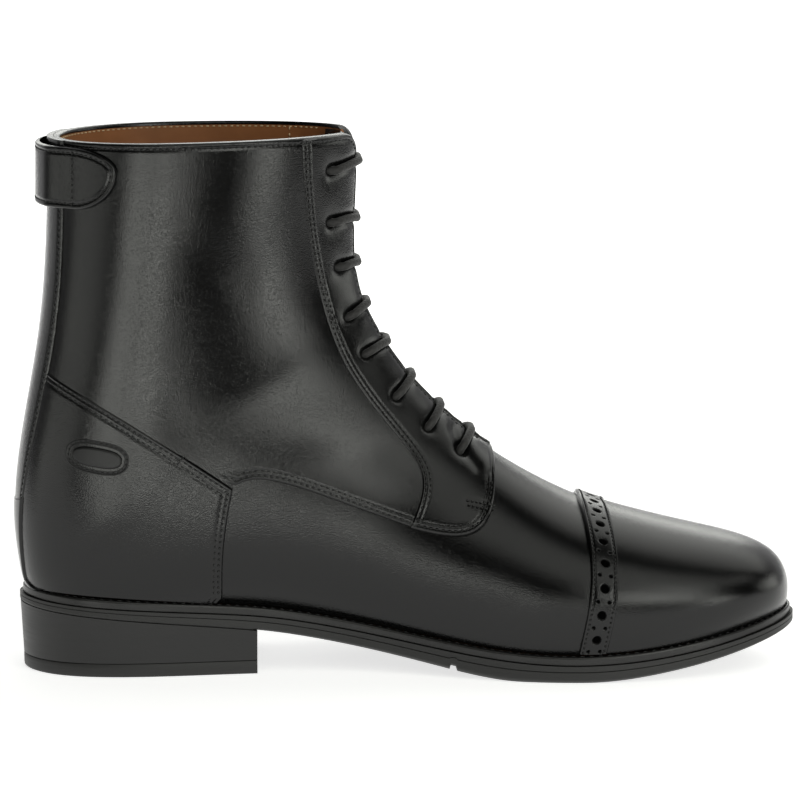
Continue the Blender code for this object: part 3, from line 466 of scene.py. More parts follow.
def calf_leather(name, dark, light, roughness, depth):
    """Fine grain as bump, tone and gloss that change over a few centimetres, and painted shade in the
    punched holes: near black, dull and without reflection.
    """
    made, tree, shader = finish_of(name, IOR=1.5)
    place = own_place(tree)
    slow = noise(tree, place, MOTTLE, 3.0)
    hole = add(tree, "Attribute", {}, attribute_name="punched").outputs["Fac"]
    gloss = ramp(tree, slow, roughness - GLOSS_CHANGE, roughness + GLOSS_CHANGE)
    wire(tree, shader, {
        # Where the punched mark is set, colour and reflection are painted shade: near black, with no
        # specular.
        "Base Color": blend(tree, hole, blend(tree, slow, dark, light), HOLE_PAINTED_SHADE),
        "Roughness": maths(tree, "MULTIPLY_ADD", hole, HOLE_DULL, gloss),
        "Specular IOR Level": ramp(tree, hole, SHINE, 0.0),
        "Normal": relief(tree, noise(tree, place, GRAIN, 0.0), 1.0, depth),
    })
    return made


calf = calf_leather("black_calf_leather", "#060606", "#080808", 0.19, 0.06)
polished = calf_leather("polished_calf_leather", "#060606", "#090909", 0.14, 0.012)
pressed = calf_leather("pressed_calf_leather", "#060606", "#080808", 0.42, 0.03)
print("grain", GRAIN, "mm")

# %% Tan lining leather: undyed side of a vegetable tanned skin, matt
LINING_FIBRE, LINING_MOTTLE = 0.6, 9.0
lining_leather, tree, shader = finish_of("tan_lining_leather", Roughness=0.62, IOR=1.45)
place = own_place(tree)
wire(tree, shader, {
    "Base Color": blend(tree, noise(tree, place, LINING_MOTTLE, 3.0), "#82522a", "#a0683e"),
    "Normal": relief(tree, noise(tree, place, LINING_FIBRE, 3.0), 0.6, 0.05),
})
print("lining:", lining_leather.name)

# %% Threads and cord
TWIST = 0.55


def thread(name, colour, roughness):
    """Waxed thread: its twist is finer than a pixel, so it is drawn at half a millimetre."""
    made, tree, shader = finish_of(name, Roughness=roughness, Base_Color=linear(colour))
    twist = noise(tree, own_place(tree), TWIST, 1.0)
    wire(tree, shader, {"Normal": relief(tree, twist, 0.5, 0.1)})
    return made


def braided_cord(name, colour, light):
    """Round braid: two families of strands cross on the cord's own map, as sines of u + v and u - v."""
    made, tree, shader = finish_of(name, Roughness=0.68, Sheen_Weight=0.15, Sheen_Roughness=0.4)
    u, v, _ = add(tree, "SeparateXYZ", {0: add(tree, "UVMap", {}, uv_map="braid").outputs[0]}).outputs
    leans = [maths(tree, operation, u, v) for operation in ("ADD", "SUBTRACT")]
    strands = [maths(tree, "SINE", maths(tree, "MULTIPLY", lean, 2 * np.pi)) for lean in leans]
    weave = maths(tree, "MAXIMUM", *strands)
    # Painted shade: the colour darkens from the strands' crowns into the grooves between them.
    wire(tree, shader, {
        "Base Color": blend(tree, ramp(tree, weave, 0.0, 1.0, -1.0, 1.0), colour, light),
        "Normal": relief(tree, weave, 0.8, 0.06),
    })
    return made


black_thread = thread("black_waxed_thread", "#0c0c0b", 0.6)
cream_thread = thread("cream_linen_thread", "#d8c096", 0.7)
# The cord's colour runs from the darker one in the grooves of the braid to the lighter one on the
# crowns, as painted shade.
cord = braided_cord("black_braided_cord", "#131211", "#1c1b1a")
print("threads:", black_thread.name, cream_thread.name, "cord:", cord.name)

# %% Rubber and leather of the sole
STREAK_STRETCH, SOLE_GLOSS_CHANGE = 14, 0.1


def sole_stock(name, dark, light, roughness, streak, depth):
    """Rubber or edge-dyed leather: fine streaks along the edge, as a trimming knife leaves them."""
    made, tree, shader = finish_of(name, IOR=1.5)
    level = 1 / (streak * STREAK_STRETCH)
    drawn = add(tree, "Mapping", {0: own_place(tree), "Scale": (level, level, 1 / streak)})
    lines = noise(tree, drawn.outputs[0], 1.0, 3.0)
    wire(tree, shader, {
        "Base Color": blend(tree, lines, dark, light),
        "Roughness": ramp(tree, lines, roughness - SOLE_GLOSS_CHANGE, roughness + SOLE_GLOSS_CHANGE),
        "Normal": relief(tree, lines, 0.5, depth),
    })
    return made


rubber = sole_stock("black_sole_rubber", "#141413", "#1b1b19", 0.5, 1.2, 0.12)
welt_edge = sole_stock("dyed_welt_leather", "#0d0d0c", "#141312", 0.32, 0.8, 0.08)
stack_leather = sole_stock("dyed_heel_leather", "#0d0d0c", "#121211", 0.42, 0.9, 0.1)
print("materials:", len(bpy.data.materials))

# %% [markdown]
# ## From grids to meshes
# Each piece is one or two grids of points. A leather panel has an outer and an inner grid, joined
# by a rim, so it is a closed sheet with a real thickness. Points that coincide are merged and the
# faces are turned outwards.

# %% Mesh helpers
SHARP_ANGLE, MERGE_DISTANCE = np.radians(50), 0.002


def quads(rows, columns, wrap=False):
    """Corner numbers of a grid's faces; a wrapped grid also joins its last column to its first."""
    r, c = np.meshgrid(np.arange(rows - 1), np.arange(columns if wrap else columns - 1), indexing="ij")
    a, b = r * columns + c, r * columns + (c + 1) % columns
    return np.stack([a, b, b + columns, a + columns], axis=-1).reshape(-1, 4)


def piece(name, points, faces, finish, slot, replaces=(), uv=None, marks=None):
    """Mesh object in the frame from points in millimetres; it rides on the boot."""
    mesh = bpy.data.meshes.new(name)
    mesh.vertices.add(len(points))
    mesh.vertices.foreach_set("co", ((points - ORIGIN) * MM).astype(np.float32).ravel())
    mesh.loops.add(faces.size)
    mesh.loops.foreach_set("vertex_index", faces.astype(np.int32).ravel())
    mesh.polygons.add(len(faces))
    mesh.polygons.foreach_set("loop_start", np.arange(0, faces.size, faces.shape[1], dtype=np.int32))
    mesh.update(calc_edges=True)
    if uv is not None:
        layer = mesh.uv_layers.new(name=uv[0])
        layer.data.foreach_set("uv", uv[1][faces.ravel()].astype(np.float32).ravel())
    if marks is not None:
        field = mesh.attributes.new(marks[0], "FLOAT", "POINT")
        field.data.foreach_set("value", marks[1].astype(np.float32))
    shape = bmesh.new()
    shape.from_mesh(mesh)
    bmesh.ops.remove_doubles(shape, verts=shape.verts, dist=MERGE_DISTANCE * MM)
    bmesh.ops.recalc_face_normals(shape, faces=shape.faces)
    shape.to_mesh(mesh)
    shape.free()
    mesh.shade_smooth()
    mesh.set_sharp_from_angle(angle=SHARP_ANGLE)
    mesh.materials.append(finish)
    made = bpy.data.objects.new(name, mesh)
    scene.collection.objects.link(made)
    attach(made, "root")
    if replaces:
        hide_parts(*replaces)
    return made


def two_layers(face, rims, deep):
    """Faces of an outer layer, the same turned over for the inner layer, and strips along the rims."""
    sides = [np.stack([a[:-1], a[1:], a[1:] + deep, a[:-1] + deep], axis=-1) for a in rims]
    return np.concatenate([face, face[:, ::-1] + deep, *sides])


def panel(name, grid, height, low, finish, rims=("first", "last", "left", "right"), marks=None):
    """Leather sheet between two heights over the bare wall; it stands for the solid of that name.
    The rims named are closed; a folded or closed edge needs none."""
    number = np.arange(grid[..., 0].size).reshape(grid.shape[:2])
    edges = {"first": number[0], "last": number[-1], "left": number[:, 0], "right": number[:, -1]}
    faces = two_layers(quads(*number.shape), [edges[rim] for rim in rims], number.size)
    v, q = grid[..., 0], grid[..., 1]
    layers = [skin(v, q, np.broadcast_to(level, v.shape)).reshape(-1, 3) for level in (height, low)]
    both = None if marks is None else (marks[0], np.tile(marks[1].ravel(), 2))
    piece(name + "_leather", np.concatenate(layers), faces, finish, "calf", (name,), marks=both)

# %% [markdown]
# ## Panel outlines and edges
# A panel is cut between four seams. A Coons patch fills them with a grid: it blends opposite edges
# and takes away the doubly counted corners. The grid is crowded towards the edges, because that is
# where the leather rolls over and where the stitches pull it down.

# %% Grids between four seams
def crowded(count, strength=0.86):
    """Even steps pulled towards both ends: u - strength sin(2 pi u) / (2 pi)."""
    u = np.linspace(0, 1, count)
    return u - strength * np.sin(2 * np.pi * u) / (2 * np.pi)


def between(bottom, top, left, right, s, t, side=None):
    """Coons patch of (v, q), even in the side view if a side is given."""
    edges = [spaced(bottom, s), spaced(top, s), spaced(left, t), spaced(right, t)]
    if side is not None:
        edges = [side_of(line) for line in edges]
    bottom, top, left, right = edges
    s, t = s[None, :, None], t[:, None, None]
    ruled = (1 - t) * bottom[None] + t * top[None]
    ruled = ruled + (1 - s) * left[:, None] + s * right[:, None]
    low_corners, high_corners = ((1 - s) * edge[0] + s * edge[-1] for edge in (bottom, top))
    grid = ruled - (1 - t) * low_corners - t * high_corners
    return grid if side is None else locate(grid, side)


def distance_to(points, line):
    """Distance from points to a polyline: the nearest of its straight pieces."""
    start, run = line[:-1], np.diff(line, axis=0)
    off = points.reshape(-1, 1, 3) - start
    length = np.maximum(np.sum(run * run, axis=-1), TINY**2)
    share = np.clip(np.sum(off * run, axis=-1) / length, 0, 1)
    gap = np.sum((off - share[..., None] * run) ** 2, axis=-1)
    return np.sqrt(gap.min(axis=1)).reshape(points.shape[:-1])


def edge_distances(grid):
    """Distances to the bottom, top, left and right edge of a panel's grid."""
    place = places(grid)
    return [distance_to(place, edge) for edge in (place[0], place[-1], place[:, 0], place[:, -1])]


def rolled(distance, radius):
    """Quarter round from 0 at an edge to 1 at a radius from it."""
    return np.sqrt(1 - (1 - np.clip(distance / radius, 0, 1)) ** 2)


def swell(low, proud, distance, radius):
    """Height of a panel that rises from low at its edge to proud, round over a radius."""
    return low + (proud - low) * rolled(distance, radius)


def furrow(distance, at, width=0.5):
    """Bell-shaped groove at a distance from an edge, where stitches pull the leather down."""
    return np.exp(-(((distance - at) / width) ** 2))

# %% [markdown]
# ## Rows of thread
# A stitch is a short thread that comes out of one hole and goes into the next. Each one is a small
# spindle, bent down at its ends. All the stitches of the upper are joined into a single mesh made
# from one big array, and so are those of the lining and of the welt.

# %% Stitches
STITCH_PITCH, STITCH_LENGTH, STITCH_RADIUS = 2.3, 1.5, 0.26
STITCH_RINGS, STITCH_SIDES, STITCH_STEP = 6, 6, 0.4
sewn = {"upper_stitching": [], "lining_stitching": [], "welt_stitching": []}


def square_to(vectors, tangent):
    """Part of the vectors that is square to a tangent, at length one."""
    return unit(vectors - np.sum(vectors * tangent, axis=1, keepdims=True) * tangent)


def spindles(place, tangent, normal, length):
    """Points of many stitches: tubes round the tangents, thin at their ends and bent to a low arch."""
    u = np.linspace(-1, 1, STITCH_RINGS)[None, :, None, None]
    turn = np.linspace(0, 2 * np.pi, STITCH_SIDES + 1)[None, None, :-1, None]
    t, n, b = (a[:, None, None, :] for a in (tangent, normal, np.cross(normal, tangent)))
    thick = STITCH_RADIUS * np.sqrt(np.maximum(1 - u**4, 0))
    arch = STITCH_RADIUS * (0.9 - 1.6 * u**2)
    middle = place[:, None, None, :] + t * u * length / 2
    return middle + n * (arch + thick * np.cos(turn)) + b * thick * np.sin(turn)


def sew(line, proud, job="upper_stitching", pitch=STITCH_PITCH, length=STITCH_LENGTH, face=1):
    """Even stitches along a (v, q) line at a height over the upper; face -1 sews the inner face."""
    share = np.linspace(0, 1, 12 * len(line))
    fine = spaced(line, share)
    marks = run_of(places(line))
    path = skin(*fine.T, np.interp(share * marks[-1], marks, np.broadcast_to(proud, len(line))))
    run = run_of(path)
    count = max(int(run[-1] / pitch), 1)
    at = (np.arange(count) + 0.5) * run[-1] / count
    tangent = unit(points_at(at + STITCH_STEP, run, path) - points_at(at - STITCH_STEP, run, path))
    normal = square_to(face * normals(*points_at(at, run, fine).T), tangent)
    sewn[job].append(spindles(points_at(at, run, path), tangent, normal, length))


print("stitch pitch", STITCH_PITCH, "mm")

# %% [markdown]
# ## The wall of the upper and its lining
# The real upper is an outer of calf and a lining of tan leather, pasted together and open at the
# throat. Both are made here as one function with two depths. The rows crowd where the throat
# begins, so that its end is round.

# %% Throat
THROAT_BASE = 10.65
THROAT_HALF_GAP = (4.0, 7.5)
THROAT_CORNER_RADIUS, THROAT_ROUND_ROWS = 11.0, 0.5


def throat_gap(v):
    """Half width of the throat: it widens slowly, with a round start and a round collar corner."""
    rise = np.clip((v - THROAT_BASE) / (COLLAR - THROAT_BASE), 0, 1)
    gap = THROAT_HALF_GAP[0] + (THROAT_HALF_GAP[1] - THROAT_HALF_GAP[0]) * rise
    opening = np.clip((v - THROAT_BASE) / THROAT_ROUND_ROWS, 0, 1) ** 0.5
    height = sections(v)["front_z"] - SECTIONS[COLLAR][1] + THROAT_CORNER_RADIUS
    into = np.clip(height, 0, THROAT_CORNER_RADIUS)
    return gap * opening + THROAT_CORNER_RADIUS - np.sqrt(THROAT_CORNER_RADIUS**2 - into**2)


def throat_edge(v, side):
    """Edge of the throat as (v, q) points."""
    return np.column_stack([v, side * arc_share(v, throat_gap(v))])

# %% Outer wall and lining
FOLD_OVER, WALL_INNER, LINING_INNER, PASTE = 1.4, -1.15, -2.2, 0.05
STRIP_TOP_ROW, FAR_BELOW = 24.0, 99.0
toe_rows = np.concatenate([[0.0], np.linspace(0.15, 3.0, 24)])
foot_rows = np.concatenate([toe_rows, np.linspace(3.1, THROAT_BASE, 70)])
opening_rows = THROAT_BASE + THROAT_ROUND_ROWS * np.linspace(0, 1, 14)[1:] ** 2
shaft_rows = np.linspace(11.25, STRIP_TOP_ROW, 72)
wall_rows = np.concatenate([foot_rows, opening_rows, shaft_rows])
wall_strip = np.array([3.2, 2.8, 2.2, FOLD_OVER + 0.1, FOLD_OVER, 1.2, 0.9, 0.6, 0.3, 0.1, 0.0])
lining_strip = np.array([4.0, 3.2, FOLD_OVER + 0.05])


def below_collar(distance, q):
    """Row number at a distance below the collar: the distance over the length of one row there."""
    step = 0.05
    rate = np.linalg.norm(bare_upper(COLLAR, q) - bare_upper(COLLAR - step, q), axis=-1) / step
    return COLLAR - distance / rate


def wall(name, low_rows, strip, half_columns, depth, finish, slot, replaces=()):
    """Two like grids of the whole upper, joined along the collar, the throat and the bottom edge.
    The rows bend into lines at even distances below the collar, where a binding is folded over."""
    rise, across = np.linspace(0, 1, 26)[1:-1, None], np.linspace(0, 1, half_columns)[None, :]
    q = across * np.ones((len(low_rows) + len(rise) + len(strip), 1))
    for _ in range(4):
        edge = below_collar(strip[0], q[[-len(strip)]])
        v = np.concatenate([
            low_rows[:, None] + 0 * q[:1],
            STRIP_TOP_ROW + rise * (edge - STRIP_TOP_ROW),
            below_collar(strip[:, None], q[-len(strip):]),
        ])
        gap = np.where(v[:, 0] > THROAT_BASE, throat_gap(v[:, 0]), 0.0)
        front = np.where(gap > 0, arc_share(v[:, 0], gap), 0.0)[:, None]
        q = front + (1 - front) * across
    v, q = (np.concatenate([sign * a[:, ::-1], a], axis=1) for sign, a in ((1, v), (-1, q)))
    rows, columns = q.shape
    below = np.concatenate([np.full(rows - len(strip), FAR_BELOW), strip])[:, None] + 0 * q
    layers = [skin(v, q, d(below) if callable(d) else d).reshape(-1, 3) for d in depth]
    face = quads(rows, columns)
    face = face[face[:, 0] % columns != half_columns - 1]
    number = np.arange(rows * columns).reshape(rows, columns)
    base, corner = (int(np.argmin(np.abs(low_rows - row))) for row in (THROAT_BASE, HEEL_CORNER))
    rims = (number[: corner + 1, 0], number[: corner + 1, -1], number[base:, half_columns - 1],
            number[base:, half_columns], number[-1, :half_columns], number[-1, half_columns:])
    faces = two_layers(face, rims, number.size)
    made = piece(name, np.concatenate(layers), faces, finish, slot, replaces)
    print(name, len(made.data.polygons), "faces")


def binding(below):
    """Inner face of the outer: it steps in where it is folded over the lining, round at the top."""
    return WALL_INNER + np.where(below < FOLD_OVER + 0.05, WALL_INNER * rolled(below + 0.12, 1.0), 0.0)


wall("upper_leather", wall_rows, wall_strip, 64, (0.0, binding), calf, "calf", ("upper",))
lining_depth = (WALL_INNER - PASTE, LINING_INNER)
wall("collar_lining", wall_rows[::2], lining_strip, 40, lining_depth, lining_leather, "lining")

# %% Tongue behind the throat
TONGUE_INNER, TONGUE_THICKNESS = -5.15, 2.0
TONGUE_REACH = ((9.65, 14.5, 27.6), (15.0, 21.0, 20.0))
tongue_rows = np.linspace(THROAT_BASE - 1.0, COLLAR - 0.4, 90)
tongue_reach = arc_share(tongue_rows, np.interp(tongue_rows, *TONGUE_REACH))
tongue_q = tongue_reach[:, None] * np.linspace(-1, 1, 41)
tongue_grid = np.stack([np.broadcast_to(tongue_rows[:, None], tongue_q.shape), tongue_q], axis=-1)
tongue_edge = np.min(edge_distances(tongue_grid), axis=0)
tongue_height = TONGUE_INNER + TONGUE_THICKNESS * rolled(tongue_edge, 1.4)
panel("tongue", tongue_grid, tongue_height, TONGUE_INNER, calf)
print("tongue width at the collar:", 2 * TONGUE_REACH[1][-1], "mm")

# %% [markdown]
# ## Quarters, facings and counters
# These are the large panels of each side. The quarter lies lowest, the eyelet facing and the heel
# counter lap over it. Each has a rolled edge and two rows of thread beside its seam. Only the
# seams' side-view points differ between the panels, so a loop over the two sides makes each pair.

# %% Seams seen from the side, as points (x, z)
FACING_SEAM = (
    (147.5, 58.0), (150.5, 65.0), (152.9, 75.0), (144.1, 87.0), (130.3, 103.0), (118.9, 121.0),
    (111.5, 147.0), (107.2, 174.0), (106.0, 203.0),
)
FACING_LOBE = (
    (147.5, 56.2), (156.0, 54.0), (167.0, 52.8), (175.0, 56.5), (178.6, 64.0), (179.6, 72.0),
)
VAMP_SEAM = (
    (81.5, 73.0), (85.5, 75.2), (92.0, 75.8), (105.0, 72.6), (125.0, 64.6), (146.5, 57.0),
)
COUNTER_TOP = ((35.0, 102.9), (58.0, 87.6), (81.0, 72.0))
COUNTER_FRONT = ((77.0, 30.0), (76.9, 45.0), (78.6, 60.0), (81.0, 72.0))
BACKSTAY_HALF = (
    (20.0, 10.5), (20.9, 13.0), (21.6, 15.6), (23.1, 19.6), (24.4, 21.2), (25.9, 22.4),
    (28.0, 23.0),
)
TAB_TOP_ROW, TAB_SIDE_ROW, COUNTER_TOP_ROW = 21.2, 16.7, 24.1
QUARTER_PROUD, FACING_PROUD, COUNTER_PROUD = 1.5, 2.1, 2.1
EDGE_ROLL, LAP = 1.1, 1.2
ROWS_OF_THREAD, ONE_ROW, THREAD_SINK = (1.7, 3.4), 2.0, 0.3
UNDER_PANEL = 0.2
SIDES = ((-1, "medial"), (1, "lateral"))


def back_edge(v, side, beyond=0.0):
    """Side edge of the backstay as (v, q) points, moved away from the back seam by beyond."""
    half = np.interp(v, *np.array(BACKSTAY_HALF).T)
    return np.column_stack([v, side * arc_share(v, half + beyond, from_base=True)])


def sunk(distance, rows=ROWS_OF_THREAD):
    """Depth that rows of thread pull the leather down."""
    return THREAD_SINK * sum(furrow(distance, at) for at in rows)


def collar_line(start, end, count):
    """(v, q) points along the collar."""
    return np.column_stack([np.full(count, float(COLLAR)), np.linspace(start, end, count)])

# %% Quarters
def quarter(name, side):
    """Panel between backstay, collar, facing, vamp seam and counter, lapped under its neighbours."""
    front = seam(FACING_SEAM, side, x=LAP)
    front[-1, 0] = COLLAR
    back = back_edge(np.linspace(COUNTER_TOP_ROW - 0.15, COLLAR, 60), side, -LAP)
    under = spline((side_of(back[0]), *COUNTER_TOP[:-1], VAMP_SEAM[0]), np.linspace(0, 3, 90))
    under[:, 1] -= LAP * np.linspace(1, 0, 90)
    below = np.concatenate([locate(under, side)[:-1], seam(VAMP_SEAM, side)])
    below = np.concatenate([back[:1], below[1:], front[:1]])
    above = np.array([back[-1], front[-1]])
    grid = between(below, above, back, front, crowded(104), crowded(96), side)
    visible = seam(VAMP_SEAM, side, count=120)
    bottom, top = distance_to(places(grid), places(visible)), edge_distances(grid)[1]
    height = swell(0.3, QUARTER_PROUD, bottom, EDGE_ROLL) - sunk(bottom) - sunk(top, (ONE_ROW,))
    height = height - 0.7 * (1 - rolled(top, 0.9))
    panel(name, grid, height, UNDER_PANEL, calf)
    for at in ROWS_OF_THREAD:
        sew(offset(visible, -side * at), QUARTER_PROUD - THREAD_SINK)
    collar = collar_line(back[-1, 1], front[-1, 1], 90)
    sew(offset(collar, side * ONE_ROW), QUARTER_PROUD - THREAD_SINK)


for side, name in SIDES:
    quarter("quarter_" + name, side)
print("rows of stitches so far:", len(sewn["upper_stitching"]))

# %% Eyelets: row at the throat's edge, row at the eyelet, arc from the throat's middle to it
LACE_BARS = (
    (25.3, 25.7, 26.0), (22.0, 22.8, 24.0), (19.7, 20.3, 18.5), (17.2, 17.4, 18.0),
    (15.25, 15.55, 19.0), (13.8, 13.8, 20.0), (12.6, 12.6, 20.5), (11.5, 11.6, 20.0),
)
EYELET_RADIUS, EYELET_DEPTH, PUCKER_RADIUS, PUCKER_DEPTH = 1.5, 1.3, 5.0, 0.6
BAR_DENT, BAR_DENT_WIDTH = 1.2, 2.1


def bar_line(bar, steps):
    """(v, q) along one bar: straight over the throat, then leaning to the eyelet's row."""
    edge_row, eyelet_row, arc = bar
    edge = arc_share(edge_row, throat_gap(edge_row))
    reach = arc_share(eyelet_row, arc)
    q = steps * reach
    lean = np.clip((np.abs(q) - edge) / (reach - edge), 0, 1)
    return np.column_stack([edge_row + (eyelet_row - edge_row) * lean, q])


def puckered(grid, side):
    """Dents of the leather: a trough under each bar, a soft bell round its eyelet and a steep hole."""
    place = places(grid)
    total = np.zeros(place.shape[:-1])
    for bar in LACE_BARS:
        line = bar_line(bar, side * np.linspace(0, 1, 16))
        under = distance_to(place, places(line))
        away = np.linalg.norm(place - bare_upper(*line[-1]), axis=-1)
        total += PUCKER_DEPTH * furrow(away, 0.0, PUCKER_RADIUS)
        dent = BAR_DENT * furrow(under, 0.0, BAR_DENT_WIDTH)
        total += np.maximum(dent, EYELET_DEPTH * (away < EYELET_RADIUS))
    return total

# %% Facings
BAR_TACK = (
    ((167.9, 65.6), (173.4, 64.4), (178.9, 63.2)),
    ((168.3, 64.1), (172.2, 63.1), (176.0, 62.2)),
)
TACK_DEPTH, TACK_WIDTH, TACK_LIFT, TACK_PITCH, TACK_LENGTH = 0.35, 0.85, 0.05, 1.5, 1.4
FACING_START, FACING_RUN, FACING_TOP_ROW = 0.1, 14.3, 25.1


def facing(name, side):
    """Eyelet facing from the collar down to its round lobe on the vamp."""
    rear = seam(FACING_SEAM, side)
    rear[-1, 0] = COLLAR
    lobe = seam(FACING_LOBE, side, count=80)
    rise = THROAT_BASE + FACING_START + FACING_RUN * np.linspace(0, 1, 90) ** 1.3
    edge = throat_edge(np.concatenate([rise, np.linspace(FACING_TOP_ROW, COLLAR, 40)]), side)
    foot, head = np.array([rear[0], lobe[0]]), np.array([rear[-1], edge[-1]])
    front = np.concatenate([lobe, edge])
    grid = between(foot, head, rear, front, crowded(72, 0.7), np.linspace(0, 1, 190))
    _, top, back, ahead = edge_distances(grid)
    border = np.minimum(np.minimum(ahead, back), top)
    tacks = [seam(line, side, count=20) for line in BAR_TACK]
    tack = np.min([distance_to(places(grid), places(line)) for line in tacks], axis=0)
    height = swell(0.4, FACING_PROUD, border, EDGE_ROLL)
    height = height - sunk(back) - sunk(distance_to(places(grid), places(lobe)))
    height = height - sunk(np.minimum(ahead, top), (ONE_ROW,)) - puckered(grid, side)
    height = height - TACK_DEPTH * furrow(tack, 0.0, TACK_WIDTH)
    panel(name, grid, np.maximum(height, 0.35), UNDER_PANEL, calf)
    for at in ROWS_OF_THREAD:
        sew(offset(rear, side * at)[3:-2], FACING_PROUD - THREAD_SINK)
        sew(offset(lobe, -side * at)[2:-2], FACING_PROUD - THREAD_SINK)
    collar = collar_line(rear[-1, 1], edge[-1, 1], 40)
    around = offset(np.concatenate([collar[:-1], edge[:5:-1]]), side * ONE_ROW)
    sew(around, FACING_PROUD - THREAD_SINK)
    for line in tacks:
        sew(line, FACING_PROUD + TACK_LIFT, pitch=TACK_PITCH, length=TACK_LENGTH)


for side, name in SIDES:
    facing("facing_" + name, side)
print("eyelets:", 2 * len(LACE_BARS))

# %% Heel counters
COUNTER_FOOT = 0.985


def counter(name, side):
    """Heel counter panel between backstay, heel tab, quarter, vamp and welt."""
    front = seam(COUNTER_FRONT, side)
    front[0, 1] = side * COUNTER_FOOT
    up_back = back_edge(np.linspace(TAB_TOP_ROW, COUNTER_TOP_ROW, 40), side, -LAP)
    foot = np.array([TAB_SIDE_ROW + 0.6, side * COUNTER_FOOT])
    by_tab = foot + (up_back[0] - foot) * np.linspace(0, 1, 30)[:-1, None]
    back = np.concatenate([by_tab, up_back])
    top = seam((tuple(side_of(back[-1])), *COUNTER_TOP), side)
    top[0] = back[-1]
    bottom = foot + (front[0] - foot) * np.linspace(0, 1, 60)[:, None]
    grid = between(bottom, top, back, front, crowded(84), crowded(72), side)
    _, upper_edge, _, fore = edge_distances(grid)
    border = np.minimum(upper_edge, fore)
    height = swell(0.3, COUNTER_PROUD, border, EDGE_ROLL) - sunk(border)
    panel(name, grid, height, UNDER_PANEL, calf)
    for at in ROWS_OF_THREAD:
        sew(offset(top, side * at)[10:-6], COUNTER_PROUD - THREAD_SINK)
        sew(offset(front, -side * at)[6:-6], COUNTER_PROUD - THREAD_SINK)


for side, name in SIDES:
    counter("counter_" + name, side)
print("rows of stitches so far:", len(sewn["upper_stitching"]))

# %% [markdown]
# ## Backstay, heel tab and pull loop
# The back seam is covered by a strip that widens towards the collar, and by a glossy tab at its
# foot. The pull loop is a strap that is sewn down at both rounded ends and stands away from the
# back in between.

# %% Backstay and heel tab
BACKSTAY_PROUD, HEEL_TAB_PROUD, STAY_ROW = 2.5, 3.0, 1.9
stay_rows = np.linspace(TAB_TOP_ROW, COLLAR, 120)
stay_edge = back_edge(stay_rows, 1)[:, 1]
stay_q = stay_edge[:, None] + (1 - stay_edge[:, None]) * np.linspace(0, 1, 31) ** 1.3


def over_back(half_v, half_q):
    """Grid across the back seam from its lateral half: the medial half is its mirror in q."""
    v = np.concatenate([half_v, half_v[:, -2::-1]], axis=1)
    q = np.concatenate([half_q, -half_q[:, -2::-1]], axis=1)
    return np.stack([v, q], axis=-1)


stay_grid = over_back(np.broadcast_to(stay_rows[:, None], stay_q.shape), stay_q)
_, _, stay_left, stay_right = edge_distances(stay_grid)
stay_side = np.minimum(stay_left, stay_right)
stay_height = swell(0.4, BACKSTAY_PROUD, stay_side, EDGE_ROLL) - sunk(stay_side, (STAY_ROW,))
panel("backstay", stay_grid, stay_height, UNDER_PANEL, calf)
for side in (-1, 1):
    sew(offset(back_edge(stay_rows, side), -side * STAY_ROW), BACKSTAY_PROUD - THREAD_SINK)

tab_top = TAB_TOP_ROW + 0.15
tab_side = np.array([[TAB_SIDE_ROW, 0.975], back_edge(np.array([tab_top]), 1)[0]])
tab_middle = np.array([[HEEL_CORNER + 0.1, 1.0], [tab_top, 1.0]])
tab_foot, tab_head = (np.array([tab_side[k], tab_middle[k]]) for k in (0, 1))
tab_across = np.linspace(0, 1, 40) ** 1.3
tab_half = between(tab_foot, tab_head, tab_side, tab_middle, tab_across, crowded(50, 0.6))
tab_grid = over_back(tab_half[..., 0], tab_half[..., 1])
_, tab_upper, tab_left, tab_right = edge_distances(tab_grid)
tab_border = np.minimum(np.minimum(tab_left, tab_right), tab_upper)
panel("heel_tab", tab_grid, swell(0.4, HEEL_TAB_PROUD, tab_border, 1.4), UNDER_PANEL, polished)
print("backstay and heel tab:", len(stay_rows), "and", len(tab_grid), "rows")

# %% Pull loop
LOOP_TOP, LOOP_BOTTOM, LOOP_TIP_Z = 199.5, 176.5, 191.0
LOOP_SEWN, LOOP_END, LOOP_THICKNESS, LOOP_STAND_OFF = 30.7, 49.6, 1.4, 3.4
LOOP_BASE, LOOP_ROW, LOOP_EASE, LOOP_THREAD = 2.1, 27.4, 14.0, 2.1


def row_at_height(z, q):
    """Row number on the shaft where the surface at q has height z, by bisection."""
    low, high = (np.full(np.shape(z), row) for row in (HEEL_CORNER + 1.0, float(COLLAR)))
    for _ in range(HALVINGS):
        middle = (low + high) / 2
        above = bare_upper(middle, q)[..., 2] > z
        low, high = np.where(above, low, middle), np.where(above, middle, high)
    return (low + high) / 2


def loop_grid(inset, arc_count=181, rise_count=37):
    """Strap outline moved in by inset: straight in the middle, half an ellipse at each end."""
    end = LOOP_END - inset
    arc = end * np.sin(np.linspace(-np.pi / 2, np.pi / 2, arc_count))
    into = np.clip((np.abs(arc) - LOOP_SEWN) / (end - LOOP_SEWN), 0, 1)
    round_end = np.sqrt(np.maximum(1 - into**2, 1e-4))
    high, low = LOOP_TOP - inset - LOOP_TIP_Z, LOOP_TIP_Z - LOOP_BOTTOM - inset
    share = crowded(rise_count, 0.6)[:, None]
    z = LOOP_TIP_Z - low * round_end + share * (high + low) * round_end
    base = arc_share(np.full(arc.shape, LOOP_ROW), np.abs(arc), from_base=True)
    q = np.broadcast_to(np.where(arc < 0, -base, base), z.shape)
    free = np.clip((LOOP_SEWN - np.abs(arc)) / LOOP_EASE, 0, 1)
    stand = np.broadcast_to(LOOP_BASE + LOOP_STAND_OFF * free**2 * (3 - 2 * free), z.shape)
    return np.stack([row_at_height(z, q), q], axis=-1), stand


